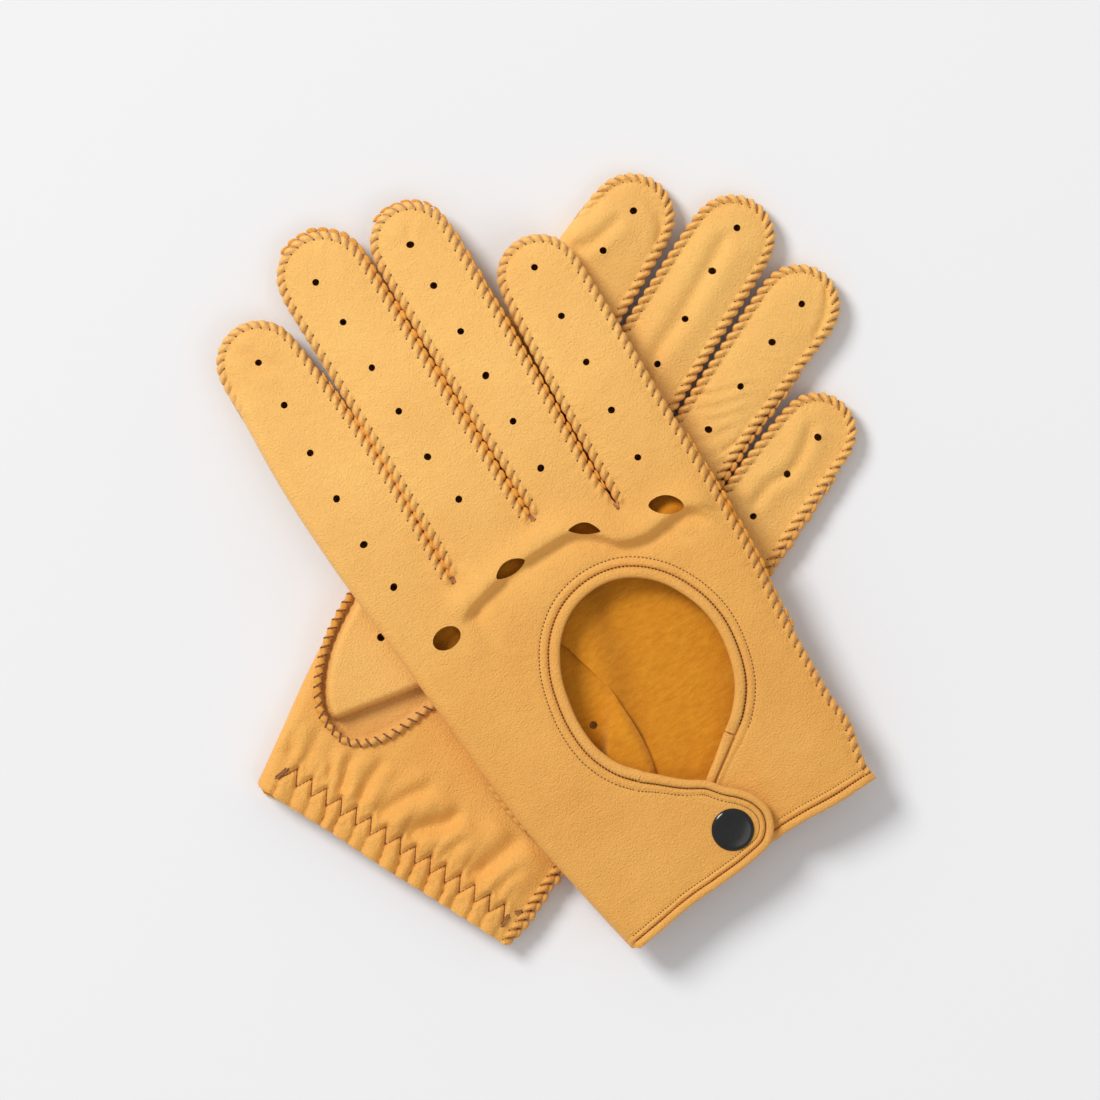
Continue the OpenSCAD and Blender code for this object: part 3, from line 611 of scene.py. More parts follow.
def new_object(name, verts, faces, materials, indices=None, **attributes):
    """A smooth mesh object at the origin, from points in millimetres."""
    mesh = bpy.data.meshes.new(name)
    mesh.from_pydata((np.asarray(verts) * MM).tolist(), [], faces)
    for m in materials:
        mesh.materials.append(m)
    if indices is not None:
        mesh.polygons.foreach_set("material_index", np.asarray(indices, np.int32))
    mesh.polygons.foreach_set("use_smooth", np.ones(len(mesh.polygons), bool))
    for key, value in attributes.items():
        value = np.asarray(value, np.float32)
        kind = "FLOAT_VECTOR" if value.ndim == 2 else "FLOAT"
        layer = mesh.attributes.new(key, kind, "POINT")
        layer.data.foreach_set("vector" if value.ndim == 2 else "value", value.ravel())
    mesh.update()
    obj = bpy.data.objects.new(name, mesh)
    bpy.context.scene.collection.objects.link(obj)
    return obj


class Cloud:
    """Points for a sheet's mesh, kept apart from each other."""

    def __init__(self, first):
        self.groups = [first]

    def add(self, points, apart):
        tree = KDTree(sum(len(g) for g in self.groups))
        for i, (x, y) in enumerate(np.vstack(self.groups)):
            tree.insert((x, y, 0), i)
        tree.balance()
        kept, last = [], None
        for x, y in points:
            if last is not None and math.hypot(x - last[0], y - last[1]) < apart:
                continue
            if tree.find((x, y, 0))[2] >= apart:
                kept.append((x, y))
                last = (x, y)
        if kept:
            self.groups.append(np.array(kept))

    def points(self):
        return np.vstack(self.groups)


def triangulate(loops, rings, spacing, extra=()):
    """Triangles over the first loop, less the others. rings is a list of (line, distances, spacing)."""
    edge_points = np.vstack(loops)
    cloud = Cloud(edge_points)
    outer = loops[0]
    for line, distances, gap in rings:
        for d in distances:
            ring = line.at(np.arange(gap / 2, line.s[-1], gap * COARSE), d)
            ring = ring[inside(ring, outer)]
            if len(ring):
                ring = ring[line.near(ring)[0] > 0.93 * d]
            cloud.add(ring, 0.27 * COARSE)
    for points, apart in extra:
        cloud.add(points[inside(points, outer)], apart * COARSE)
    low, high = outer.min(0), outer.max(0)
    gap = spacing * COARSE
    lattice = []
    for k, y in enumerate(np.arange(low[1], high[1], gap * 0.866)):
        x = np.arange(low[0] + (k % 2) * gap / 2, high[0], gap)
        lattice.append(np.column_stack([x, np.full(len(x), y)]))
    lattice = np.vstack(lattice)
    cloud.add(lattice[inside(lattice, outer)], 0.72 * gap)
    points = cloud.points()
    edges, start = [], 0
    for loop in loops:
        n = len(loop)
        edges += [(start + i, start + (i + 1) % n) for i in range(n)]
        start += n
    verts, _, tris, _, _, _ = delaunay_2d_cdt([tuple(p) for p in points], edges, [], 1, 1e-5)
    verts = np.array([tuple(v) for v in verts])
    tris = np.array(tris, int)
    centre = verts[tris].mean(1)
    keep = inside(centre, outer)
    for hole in loops[1:]:
        keep &= ~inside(centre, hole)
    tris = tris[keep]
    a, b, c = verts[tris[:, 0]], verts[tris[:, 1]], verts[tris[:, 2]]
    over = (b[:, 0] - a[:, 0]) * (c[:, 1] - a[:, 1]) - (b[:, 1] - a[:, 1]) * (c[:, 0] - a[:, 0]) < 0
    tris[over] = tris[over][:, ::-1]
    used = np.unique(tris)
    renumber = np.full(len(verts), -1)
    renumber[used] = np.arange(len(used))
    return verts[used], renumber[tris]


def mark_sharp(obj, pairs):
    """Keep the shading of the edges between those pairs of points crisp."""
    pairs = {tuple(sorted(pair)) for pair in pairs}
    layer = obj.data.attributes.new("sharp_edge", "BOOLEAN", "EDGE")
    layer.data.foreach_set("value", [tuple(sorted(e.vertices)) in pairs for e in obj.data.edges])


def shell(name, glove, side, flat, tris, outer, inner, materials, shift=None, folded=None,
          grain_from=(0, 0), fold_shade=None, **attributes):
    """A sheet of leather: outer and inner heights over the triangles, closed by a rim."""
    n = len(flat)
    plan = flat if shift is None else flat + shift
    if folded is not None:
        inner = np.where(folded, np.maximum(inner, 0), inner)
    inner = np.minimum(inner, outer - 0.08)
    verts = np.vstack([glove.row(plan, side * outer), glove.row(plan, side * inner)])
    directed = np.vstack([tris[:, [0, 1]], tris[:, [1, 2]], tris[:, [2, 0]]])
    _, index, count = np.unique(np.sort(directed, axis=1), axis=0, return_index=True,
                                return_counts=True)
    rim = directed[index[count == 1]]
    top, bottom = tris, tris[:, ::-1] + n
    wall = np.column_stack([rim[:, 1], rim[:, 0], rim[:, 0] + n, rim[:, 1] + n])
    if side < 0:
        top, bottom, wall = top[:, ::-1], bottom[:, ::-1], wall[:, ::-1]
    faces = top.tolist() + bottom.tolist() + wall.tolist()
    cut = 2 * np.ones(len(wall), int)
    if folded is not None:
        cut[folded[rim[:, 0]] & folded[rim[:, 1]]] = 0
    indices = [0] * len(top) + [1] * len(bottom) + cut.tolist()
    doubled = {k: np.concatenate([v, np.zeros(n)]) for k, v in attributes.items()}
    # the inner face carries the painted shade along the suede's fold
    doubled["shade"] = np.concatenate([np.zeros(n), np.zeros(n) if fold_shade is None else fold_shade])
    plan3 = np.column_stack([flat + grain_from, np.zeros(n)])
    obj = new_object(name, verts, faces, materials, indices,
                     plan=np.vstack([plan3, plan3]), **doubled)
    open_rim = rim[cut == 2]
    mark_sharp(obj, open_rim.tolist() + (open_rim + n).tolist())
    obj["area"] = float(flat_area(flat, tris)) * MM * MM
    size = (flat.max(0) - flat.min(0)) * MM
    obj["flat"] = [float(size[0]), float(size[1])]
    return obj


def flat_area(flat, tris):
    a, b, c = flat[tris[:, 0]], flat[tris[:, 1]], flat[tris[:, 2]]
    u, v = b - a, c - a
    return np.abs(u[:, 0] * v[:, 1] - u[:, 1] * v[:, 0]).sum() / 2


def loft(name, verts, around, material, flip=False, crisp=True, **attributes):
    """A closed tube through rings of that many points each, with flat ends."""
    last = len(verts) - around
    ring = np.arange(0, last, around)[:, None]
    k = np.arange(around)[None, :]
    k2 = (k + 1) % around
    quads = np.stack([ring + k, ring + k2, ring + around + k2, ring + around + k], -1).reshape(-1, 4)
    faces = quads.tolist() + [list(range(around))[::-1], list(range(last, last + around))]
    if flip:
        faces = [f[::-1] for f in faces]
    obj = new_object(name, verts, faces, [material], **attributes)
    if crisp:
        mark_sharp(obj, [(end + i, end + (i + 1) % around) for end in (0, last) for i in range(around)])
    return obj


def tubes(name, paths, radius, material, sides=6, **attributes):
    """Many closed tubes of the same number of points as one mesh. paths is (tubes, points, 3)."""
    paths = np.asarray(paths, float)
    count, length, _ = paths.shape
    way = np.gradient(paths, axis=1)
    way /= np.linalg.norm(way, axis=2, keepdims=True) + 1e-12
    up = np.tile([0.11, 0.07, 1.0], (count, length, 1))
    across = np.cross(way, up)
    across /= np.linalg.norm(across, axis=2, keepdims=True) + 1e-12
    over = np.cross(across, way)
    radius = np.broadcast_to(np.asarray(radius, float), (count, length))
    turns = np.arange(sides) * 2 * np.pi / sides
    verts = (paths[:, :, None] + radius[:, :, None, None] * (
        across[:, :, None] * np.cos(turns)[None, None, :, None]
        + over[:, :, None] * np.sin(turns)[None, None, :, None]))
    verts = verts.reshape(-1, 3)
    base = (np.arange(count) * length * sides)[:, None, None]
    ring = (np.arange(length - 1) * sides)[None, :, None]
    k = np.arange(sides)[None, None, :]
    k2 = (k + 1) % sides
    quads = np.stack([base + ring + k, base + ring + k2, base + ring + sides + k2,
                      base + ring + sides + k], axis=-1).reshape(-1, 4)
    ends = []
    for i in range(count):
        first = i * length * sides
        last = first + (length - 1) * sides
        ends.append(list(range(first + sides - 1, first - 1, -1)))
        ends.append(list(range(last, last + sides)))
    spread = {key: np.repeat(np.broadcast_to(np.asarray(v, float), (count, length)).reshape(-1), sides)
              for key, v in attributes.items()}
    faces = quads[:, ::-1].tolist() + [e[::-1] for e in ends]
    return new_object(name, verts, faces, [material], **spread)


# ---------------------------------------------------------------- materials

def srgb(r, g, b):
    """A colour from 0-255 screen values, as the shader's own linear one."""
    def linear(v):
        v /= 255
        return v / 12.92 if v <= 0.04045 else ((v + 0.055) / 1.055) ** 2.4
    return (linear(r), linear(g), linear(b), 1)


class Shader:
    """A material's node tree, built by short calls."""

    def __init__(self, name, **principled):
        self.material = bpy.data.materials.new(name)
        self.material.use_nodes = True
        self.tree = self.material.node_tree
        self.bsdf = self.tree.nodes["Principled BSDF"]
        for key, value in principled.items():
            self.bsdf.inputs[key.replace("_", " ")].default_value = value

    def put(self, socket, value):
        """Link the socket to a node's output, or give it a value of its own."""
        if isinstance(value, bpy.types.NodeSocket):
            self.tree.links.new(value, socket)
        else:
            socket.default_value = value

    def node(self, kind, values=None, **settings):
        n = self.tree.nodes.new(kind)
        for key, value in settings.items():
            setattr(n, key, value)
        for key, value in (values or {}).items():
            self.put(n.inputs[key], value)
        return n

    def link(self, socket, name):
        self.tree.links.new(socket, self.bsdf.inputs[name])

    def attribute(self, name, output="Fac"):
        return self.node("ShaderNodeAttribute", attribute_name=name).outputs[output]

    def noise(self, vector, scale, detail=3.0, roughness=0.55):
        n = self.node("ShaderNodeTexNoise", {"Vector": vector, "Scale": scale, "Detail": detail,
                                             "Roughness": roughness})
        return n.outputs["Fac"]

    def ramp(self, value, stops):
        n = self.node("ShaderNodeValToRGB", {"Fac": value})
        ramp = n.color_ramp
        while len(ramp.elements) < len(stops):
            ramp.elements.new(0.5)
        for element, (position, colour) in zip(ramp.elements, stops):
            element.position = position
            element.color = colour
        return n.outputs["Color"]

    def mix(self, factor, a, b):
        return self.node("ShaderNodeMix", {0: factor, 6: a, 7: b}, data_type="RGBA").outputs[2]

    def maths(self, operation, a, b, clamp=False):
        n = self.node("ShaderNodeMath", {0: a, 1: b}, operation=operation, use_clamp=clamp)
        return n.outputs[0]

    def spread(self, value, low, high):
        """A value from 0 to 1 as one from low to high."""
        n = self.node("ShaderNodeMapRange", {"Value": value, "To Min": low, "To Max": high})
        return n.outputs[0]

    def stretched(self, vector, scale, turn):
        n = self.node("ShaderNodeMapping", {"Vector": vector, "Scale": scale, "Rotation": (0, 0, turn)})
        return n.outputs[0]

    def object_place(self):
        return self.node("ShaderNodeTexCoord").outputs["Object"]

    def bump(self, height, strength, distance, normal=None):
        values = {"Height": height, "Strength": strength, "Distance": distance}
        if normal is not None:
            values["Normal"] = normal
        return self.node("ShaderNodeBump", values).outputs["Normal"]


def leather_material():
    s = Shader("tan_leather", Roughness=0.52, Specular_IOR_Level=0.42, Sheen_Weight=0.12,
               Sheen_Roughness=0.45)
    plan = s.attribute("plan", "Vector")
    cloudy = s.noise(plan, 0.035, 3)
    fine = s.noise(plan, 0.9, 2)
    height = s.node("ShaderNodeSeparateXYZ", {"Vector": plan}).outputs["Y"]
    tone = s.node("ShaderNodeMapRange",
                  {"Value": height, "From Min": 85.0, "From Max": 150.0}).outputs[0]
    base = s.mix(tone, s.ramp(cloudy, [(0.3, srgb(240, 170, 77)), (0.7, srgb(247, 181, 86))]),
                 s.ramp(cloudy, [(0.3, srgb(252, 190, 100)), (0.7, srgb(255, 199, 108))]))
    base = s.mix(s.maths("MULTIPLY", fine, 0.2), base, srgb(214, 150, 66))
    # painted shade: a dark brown mixed in by a per-point attribute, set in the ribs' grooves, in the
    # thumb's sunk recess and on the fourchettes between the fingers
    groove = s.attribute("groove")
    base = s.mix(s.maths("MULTIPLY", groove, 0.9, True), base, srgb(158, 92, 42))
    s.link(base, "Base Color")
    grain = s.bump(s.noise(plan, 1.7, 3, 0.6), 1.0, 0.0005)
    s.link(s.bump(s.noise(plan, 0.3, 4, 0.6), 0.5, 0.0006, grain), "Normal")
    s.link(s.spread(fine, 0.44, 0.62), "Roughness")
    return s.material


def suede_material():
    s = Shader("amber_suede", Roughness=0.95, Specular_IOR_Level=0.12, Sheen_Weight=0.15,
               Sheen_Roughness=0.6)
    plan = s.attribute("plan", "Vector")
    nap = s.noise(s.stretched(plan, (0.5, 1.4, 1.0), 0.5), 0.5, 6, 0.7)
    cloudy = s.noise(plan, 0.07, 3)
    base = s.ramp(nap, [(0.3, srgb(214, 130, 16)), (0.7, srgb(246, 170, 42))])
    base = s.mix(s.maths("MULTIPLY", cloudy, 0.5), base, srgb(214, 130, 18))
    scratch = s.noise(s.stretched(plan, (0.12, 1.1, 1.0), 0.15), 0.45, 3, 0.6)
    scratch = s.ramp(scratch, [(0.60, (0, 0, 0, 1)), (0.70, (0.35, 0.35, 0.35, 1))])
    base = s.mix(scratch, base, srgb(246, 184, 70))
    fleck = s.noise(plan, 1.6, 3, 0.7)
    base = s.mix(s.maths("MULTIPLY", fleck, 0.35), base, srgb(176, 100, 12))
    # painted shade: the suede darkens to a deep amber along the palm's inner fold, broken up by the
    # flecks
    shade = s.maths("MULTIPLY", s.attribute("shade"), s.maths("ADD", fleck, 0.3), True)
    base = s.mix(shade, base, srgb(150, 84, 12))
    s.link(base, "Base Color")
    s.link(s.bump(s.noise(plan, 2.2, 4, 0.7), 0.6, 0.0004), "Normal")
    return s.material


def raw_edge_material():
    s = Shader("raw_edge", Roughness=0.9, Specular_IOR_Level=0.2)
    fibre = s.noise(s.object_place(), 1400, 3, 0.6)
    base = s.ramp(fibre, [(0.3, srgb(212, 138, 44)), (0.7, srgb(238, 174, 78))])
    s.link(s.mix(s.attribute("tan"), base, srgb(226, 168, 96)), "Base Color")
    s.link(s.bump(fibre, 0.6, 0.0002), "Normal")
    return s.material


def thread_material(name, colour, dark):
    s = Shader(name, Roughness=0.6, Specular_IOR_Level=0.35, Sheen_Weight=0.2)
    base = s.mix(s.noise(s.object_place(), 2200, 2), colour, dark)
    # painted shade: each stitch turns dark brown towards its ends, where it sinks into its needle hole
    s.link(s.mix(s.attribute("end"), base, srgb(62, 32, 14)), "Base Color")
    return s.material


def metal_material(name, colour, roughness, metallic):
    s = Shader(name, Roughness=roughness, Metallic=metallic, Specular_IOR_Level=0.5)
    worn = s.noise(s.object_place(), 900, 4)
    s.link(s.mix(s.maths("MULTIPLY", worn, 0.06), colour, srgb(110, 104, 98)), "Base Color")
    s.link(s.spread(worn, roughness - 0.06, roughness + 0.1), "Roughness")
    return s.material


def elastic_material():
    s = Shader("elastic_webbing", Roughness=0.85, Sheen_Weight=0.3)
    plan = s.attribute("plan", "Vector")
    wave = s.node("ShaderNodeTexWave", {"Vector": plan, "Scale": 0.9, "Distortion": 0.4})
    s.link(s.ramp(wave.outputs["Fac"], [(0.2, srgb(196, 184, 158)), (0.8, srgb(232, 224, 202))]),
           "Base Color")
    s.link(s.bump(wave.outputs["Fac"], 0.6, 0.0003), "Normal")
    return s.material


def table_material():
    return Shader("pale_table", Base_Color=(0.86, 0.86, 0.87, 1), Roughness=0.9).material


leather = leather_material()
suede = suede_material()
raw = raw_edge_material()
thread = thread_material("brown_thread", srgb(200, 148, 116), srgb(158, 106, 78))
tan_thread = thread_material("tan_thread", srgb(196, 130, 72), srgb(146, 84, 42))
seam_thread = thread_material("seam_thread", srgb(150, 92, 46), srgb(112, 62, 28))
fine_thread = thread_material("fine_thread", srgb(100, 56, 22), srgb(72, 38, 14))
black = metal_material("black_lacquer", srgb(17, 16, 16), 0.13, 0.0)
steel = metal_material("dull_nickel", srgb(150, 146, 138), 0.38, 1.0)
webbing = elastic_material()
SHEET = [leather, suede, raw]


# ---------------------------------------------------------------- leather pieces

def finish(piece, glove, nodes, strap=False):
    if nodes:
        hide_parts(*[glove.name + "_" + n for n in nodes])
    if strap:
        start, end = (glove.row([(x, 18.0)], 3.0)[0] * MM for x in (CUT_X, HINGE_END_X))
        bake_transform(piece)
    else:
        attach(piece, glove.body)
    return piece


def seam_rings(glove):
    line = glove.closing
    return [(line, (0.35, 0.75, 1.2, 1.7, 2.2, 2.7, 3.3, 4.0), 0.38), (line, (4.8,), 0.8)]


def bound_rings(line):
    return [(line, (2.2, 2.55, 2.85, 3.15, 3.45, 3.9, 4.5, 5.1, 5.45, 5.75, 6.05, 6.5), 0.6)]


def straight(start, end, step):
    a, b = np.array(start, float), np.array(end, float)
    count = max(2, int(np.linalg.norm(b - a) / step))
    return a + (b - a) * (np.arange(count) / count)[:, None]


def line_points(line, start, end, step):
    count = max(2, int(abs(end - start) / step))
    return line.at(np.linspace(start, end, count, endpoint=False))


def holes_in_fingers(glove, shown):
    """Each finger's perforations, staggered on the leaf that faces the table."""
    drop = 0 if shown else PERFORATION_STAGGER
    return [ellipse(x, y - drop, PERFORATION_R * (1 + 0.12 * math.sin(7 * x + y)), PERFORATION_R * 0.95,
                    math.degrees(math.sin(3 * x + 2 * y)), 14)
            for row in glove.perforations for x, y in row]


def knuckle_hole(x, y, a, b, turn, lower, grow=0.0):
    """A knuckle hole: a leaf shape with a rounder upper side."""
    loop = ellipse(0, 0, a + grow, b + grow, 0, 36)
    pointed = 1 - 0.75 * (1 - lower) * (loop[:, 0] / (a + grow)) ** 2
    loop[:, 1] *= np.where(loop[:, 1] < 0, lower, 1.0) * pointed
    c, s = math.cos(math.radians(turn)), math.sin(math.radians(turn))
    return loop @ np.array([[c, s], [-s, c]]) + (x, y)


def scallop(glove, d, s):
    """How far the plan's edge moves out at each rib and in at each stitch."""
    inward = glove.closing.at(s, 1.0) - glove.closing.at(s)
    out = glove.scallop * (glove.rib_wave(d, s) - 0.55) * np.exp(-d / 1.1)
    return -inward * (out * glove.closing.value("rib", s))[:, None]


def leaf(name, glove, side, loops, rings, extra, height, plain_height, with_fold_shade=False):
    """A leaf of leather, with painted shade in the ribs' grooves, and, if asked, painted shade inside
    along the suede's fold.
    """
    flat, tris = triangulate(loops, rings, SHEET_GRID, extra)
    d, s = glove.closing.near(flat)
    # painted shade in the grooves between the ribs, where the stitches lie
    groove = glove.closing.value("rib", s) * glove.rib_envelope(d) * (1 - glove.rib_wave(d, s)) ** 2
    folded = (d < 0.8) & (glove.closing.value("edge", s) < 0.05)
    # inside the palm, painted shade along the suede's fold
    return shell(name, glove, side, flat, tris, height(flat), plain_height(flat) - LEATHER, SHEET,
                 shift=scallop(glove, d, s), folded=folded, groove=groove,
                 fold_shade=0.4 * bump(glove.suede_fold.near(flat)[0], 0, 4.5) if with_fold_shade else None)


def back_leaf(glove):
    left, right, edge = glove.left_bound, glove.right_bound, glove.closing
    loop = np.vstack([
        straight(KEYHOLE[-1], STRAP_CORNER, 0.6 * COARSE),
        line_points(left, left.place_of(STRAP_CORNER), left.s[-1], EDGE_STEP),
        straight(WRIST_LEFT[-1], edge.p[0], EDGE_STEP),
        line_points(edge, 0, edge.s[-1], EDGE_STEP),
        straight(edge.p[-1], right.p[0], EDGE_STEP),
        line_points(right, 0, right.s[-1], EDGE_STEP)])
    knuckles = [knuckle_hole(*k) for k in KNUCKLES]
    around = [(knuckle_hole(*k, grow), 0.3) for k in KNUCKLES for grow in (0.6, 1.3, 2.1)]
    fine = [(glove.ridge.at(np.arange(0, glove.ridge.s[-1], 0.7), d), 0.5)
            for d in np.arange(-2, 4.5, 0.6)]
    obj = leaf(glove.name + "_back", glove, glove.back_side,
               [loop] + knuckles + holes_in_fingers(glove, glove.back_up),
               seam_rings(glove) + bound_rings(left) + bound_rings(right), around + fine,
               glove.back, glove.plain_back)
    return finish(obj, glove, ["back_leaf"])


def strap(glove):
    line = glove.left_bound
    start, end = line.place_of(KEYHOLE[-1]), line.place_of(STRAP_CORNER)
    loop = np.vstack([line_points(line, start, end, EDGE_STEP),
                      straight(STRAP_CORNER, KEYHOLE[-1], 0.6 * COARSE)])
    obj = leaf(glove.name + "_strap_leather", glove, glove.back_side, [loop], bound_rings(line), [],
               glove.strap_top, glove.plain_strap)
    return finish(obj, glove, ["strap"], strap=True)


def palm_leaf(glove):
    edge = glove.closing
    x = np.arange(edge.p[-1][0] - 0.6, edge.p[0][0] + 0.4, -0.5)
    scallops = np.abs(np.sin(np.pi * (x - ZIGZAG["first"]) / ZIGZAG["pitch"])) ** 0.8
    hem = glove.palm_wrist - 0.22 * (scallops - 0.4) + 0.5 * value_noise(x, x * 0, 18, 5)
    loop = np.vstack([line_points(edge, 0, edge.s[-1], EDGE_STEP), np.column_stack([x, hem])])
    hole = smooth_path(glove.thumb_hole + glove.thumb_hole[:1], EDGE_STEP)[0][:-1]
    pleats = [(grid(np.arange(-43, 43.5, 0.55), np.arange(-2, 15, 0.55)), 0.42)]
    obj = leaf(glove.name + "_palm", glove, glove.palm_side,
               [loop, hole] + holes_in_fingers(glove, not glove.back_up), seam_rings(glove), pleats,
               glove.palm, glove.plain_palm, with_fold_shade=True)
    return finish(obj, glove, ["palm_leaf"])


def thumb(glove):
    outline = glove.thumb_outline()
    loop = smooth_path(outline + outline[:1], 0.5 * COARSE)[0][:-1]
    hole = ellipse(*THUMB_PERFORATION[glove.name], 1.2, 1.2, 0, 14)
    fold_zone = grid(np.arange(-46, -14, 0.5), np.arange(22, 54, 0.5))
    near_fold = fold_zone[np.abs(glove.thumb_fold(fold_zone)) < 2.2]
    rings = [(line, (0.5, 1.1, 1.9, 3.0), 0.7) for line in (glove.thumb_edge, glove.thumb_rope)]
    flat, tris = triangulate([loop, hole], rings, 1.3, [(near_fold, 0.38)])
    outer = glove.thumb(flat)
    # painted shade in the thumb's sunk recess below its fold, darkest next to the fold
    beyond = np.exp(np.minimum(glove.thumb_fold(flat), 0) / 5)
    sunk = np.clip((glove.plump + 1.0 - outer) / 2.6, 0, 1) * (flat[:, 1] < 62)
    obj = shell(glove.name + "_thumb_leather", glove, glove.palm_side, flat, tris, outer,
                outer - LEATHER, SHEET, grain_from=(0, 100), groove=(0.08 + 0.36 * beyond) * sunk)
    return finish(obj, glove, ["thumb"])


# ---------------------------------------------------------------- seams and bindings

def overcast(glove, side, height, piece, nodes, first, last):
    """The overcast stitches that lie in the grooves of a sewn edge, from its inset over the edge."""
    line = glove.closing
    s0 = np.arange(math.ceil(first / PITCH), last / PITCH) * PITCH
    s0 = s0[(line.value("rib", s0) > 0.9) & (line.value("rib", s0 + 2.6) > 0.9)]
    t = np.linspace(0, 1, 9)
    inset = glove.rib_depth + 0.1 - (glove.rib_depth - 0.1) * t
    s = s0[:, None] + glove.slant * np.maximum(inset, 0)[None, :]
    flat = line.at(s.ravel(), np.tile(inset, len(s0)))
    edge = line.value("edge", s0)
    lift = height(flat).reshape(s.shape) + (0.12 if glove.back_up else 0.0)
    lift[:, 0] -= 0.15
    lift[:, -2] = edge - 0.35
    lift[:, -1] = np.maximum(edge - 1.3, 0.0)
    thick = np.array([0.26, 0.28, 0.28, 0.28, 0.28, 0.28, 0.28, 0.26, 0.24])
    # painted shade at both ends of each stitch, most at its inner needle hole
    obj = tubes(piece, glove.strands(side, flat, lift), thick, thread if glove.back_up else tan_thread,
                end=[1, 0.7, 0, 0, 0, 0, 0, 0.2, 0.6])
    return finish(obj, glove, nodes)


def tacks(glove, side, height, piece, places):
    """Bar tacks, each of three short stitches side by side. places is x, y, turn and length."""
    t = np.linspace(-0.5, 0.5, 7)[:, None]
    paths = []
    for x, y, turn, length in places:
        way = np.array([math.cos(math.radians(turn)), math.sin(math.radians(turn))])
        across = np.array([-way[1], way[0]])
        for k in (-1, 0, 1):
            aside = 0.5 * k + 0.7 * t * math.sin(x + k)
            flat = (x, y) + t * length * way * (1 - 0.2 * abs(k)) + aside * across
            h = height(flat) + 0.2
            h[[0, -1]] -= 0.4
            paths.append(glove.row(flat, side * h))
    # painted shade at each stitch's ends, where it sinks into the leather
    obj = tubes(piece, paths, 0.21, tan_thread, end=[0.8, 0.2, 0, 0, 0, 0.2, 0.8])
    return finish(obj, glove, [])


def stitch_row(glove, line, height, piece, row, first, last, nodes, strap=False):
    """A row of short stitches along a binding. row is its inset, thickness and how far it sinks in."""
    inset, radius, sink = row
    s0 = np.arange(first + NOTCH_PITCH / 2, last, NOTCH_PITCH)
    s = s0[:, None] + np.linspace(-0.5, 0.5, 5)[None, :] * NOTCH_LENGTH
    flat = line.at(s.ravel(), inset * line.value("scale", s.ravel()))
    h = height(flat).reshape(s.shape) + radius * 0.4 - sink
    h[:, [0, -1]] -= radius * 1.2
    obj = tubes(piece, glove.strands(glove.back_side, flat, h), radius, fine_thread, sides=5, end=0)
    return finish(obj, glove, nodes, strap)


def bead(glove, line, height, piece, first, last, nodes, strap=False):
    """A folded binding: a soft roll over the leather's edge, nipped at each stitch of its seam."""
    s = np.arange(first, last, NOTCH_PITCH / 5 * COARSE)
    s[-1] = last
    width = BEAD * line.value("scale", s) + 0.25
    middle = width / 2 - 0.3
    base = height(line.at(s, middle))
    turns = np.linspace(0, 2 * np.pi, ROLL_SIDES, endpoint=False)
    nip = 0.12 * np.abs(np.cos(np.pi * s / NOTCH_PITCH)) ** 3
    pinch = np.clip(np.cos(turns), 0, 1)[None, :] ** 2
    across = (np.sign(np.cos(turns)) * np.abs(np.cos(turns)) ** 0.8)[None, :] * width[:, None] / 2
    across = across * (1 - pinch * nip[:, None])
    tall = np.where(np.sin(turns) > 0, 1.0, 1.1)
    up = (np.sign(np.sin(turns)) * np.abs(np.sin(turns)) ** 0.8 * tall)[None, :]
    up = up * (1 - 0.3 * pinch * nip[:, None])
    up = up * (0.55 + 0.45 * (width / (BEAD + 0.25)))[:, None]
    soft = 0.08 * value_noise(s, s * 0, 6, 31)
    along = np.repeat(s, ROLL_SIDES)
    flat = line.at(along, (middle[:, None] + across + soft[:, None]).ravel())
    verts = glove.row(flat, glove.back_side * (base[:, None] + 0.05 + up).ravel())
    plan = np.column_stack([along, np.tile(turns * width.mean() / 2, len(s)), np.full(len(along), 50.0)])
    obj = loft(piece, verts, ROLL_SIDES, leather, glove.back_side < 0, plan=plan,
               groove=np.zeros(len(along)))
    return finish(obj, glove, nodes, strap)


def lozenges(glove, side, piece):
    """The raw edges that show between the stitches, as a chain of small soft lumps."""
    line = glove.closing
    s0 = (np.arange(1, int(line.s[-1] / PITCH)) + 0.5) * PITCH
    s0 = s0[(line.value("beads", s0) > 0.4) & (line.value("rib", s0) > 0.4)]
    t = np.linspace(-0.5, 0.5, 7)
    s = s0[:, None] + t[None, :] * PITCH * 0.98
    wander = 0.25 * value_noise(s0, s0 * 0, 2.1, 42)
    lean, out, rise, fat = (0.45, 0.4, -0.35, 0.82) if glove.back_up else (-0.3, 0.5, 0.1, 1.1)
    flat = line.at(s.ravel(), (wander[:, None] - out + lean * t[None, :]).ravel())
    h = np.tile((line.value("edge", s0) + rise)[:, None], (1, len(t)))
    size = fat * np.clip(1 - (2 * t) ** 2, 0.02, 1) ** 0.4
    wobble = line.value("beads", s0) * (1 + 0.25 * value_noise(s0, s0 * 0, 2.3, 41))
    obj = tubes(piece, glove.strands(side, flat, h), size[None, :] * wobble[:, None], raw, sides=8,
                tan=0.15 if glove.back_up else 0.6)
    return finish(obj, glove, [])


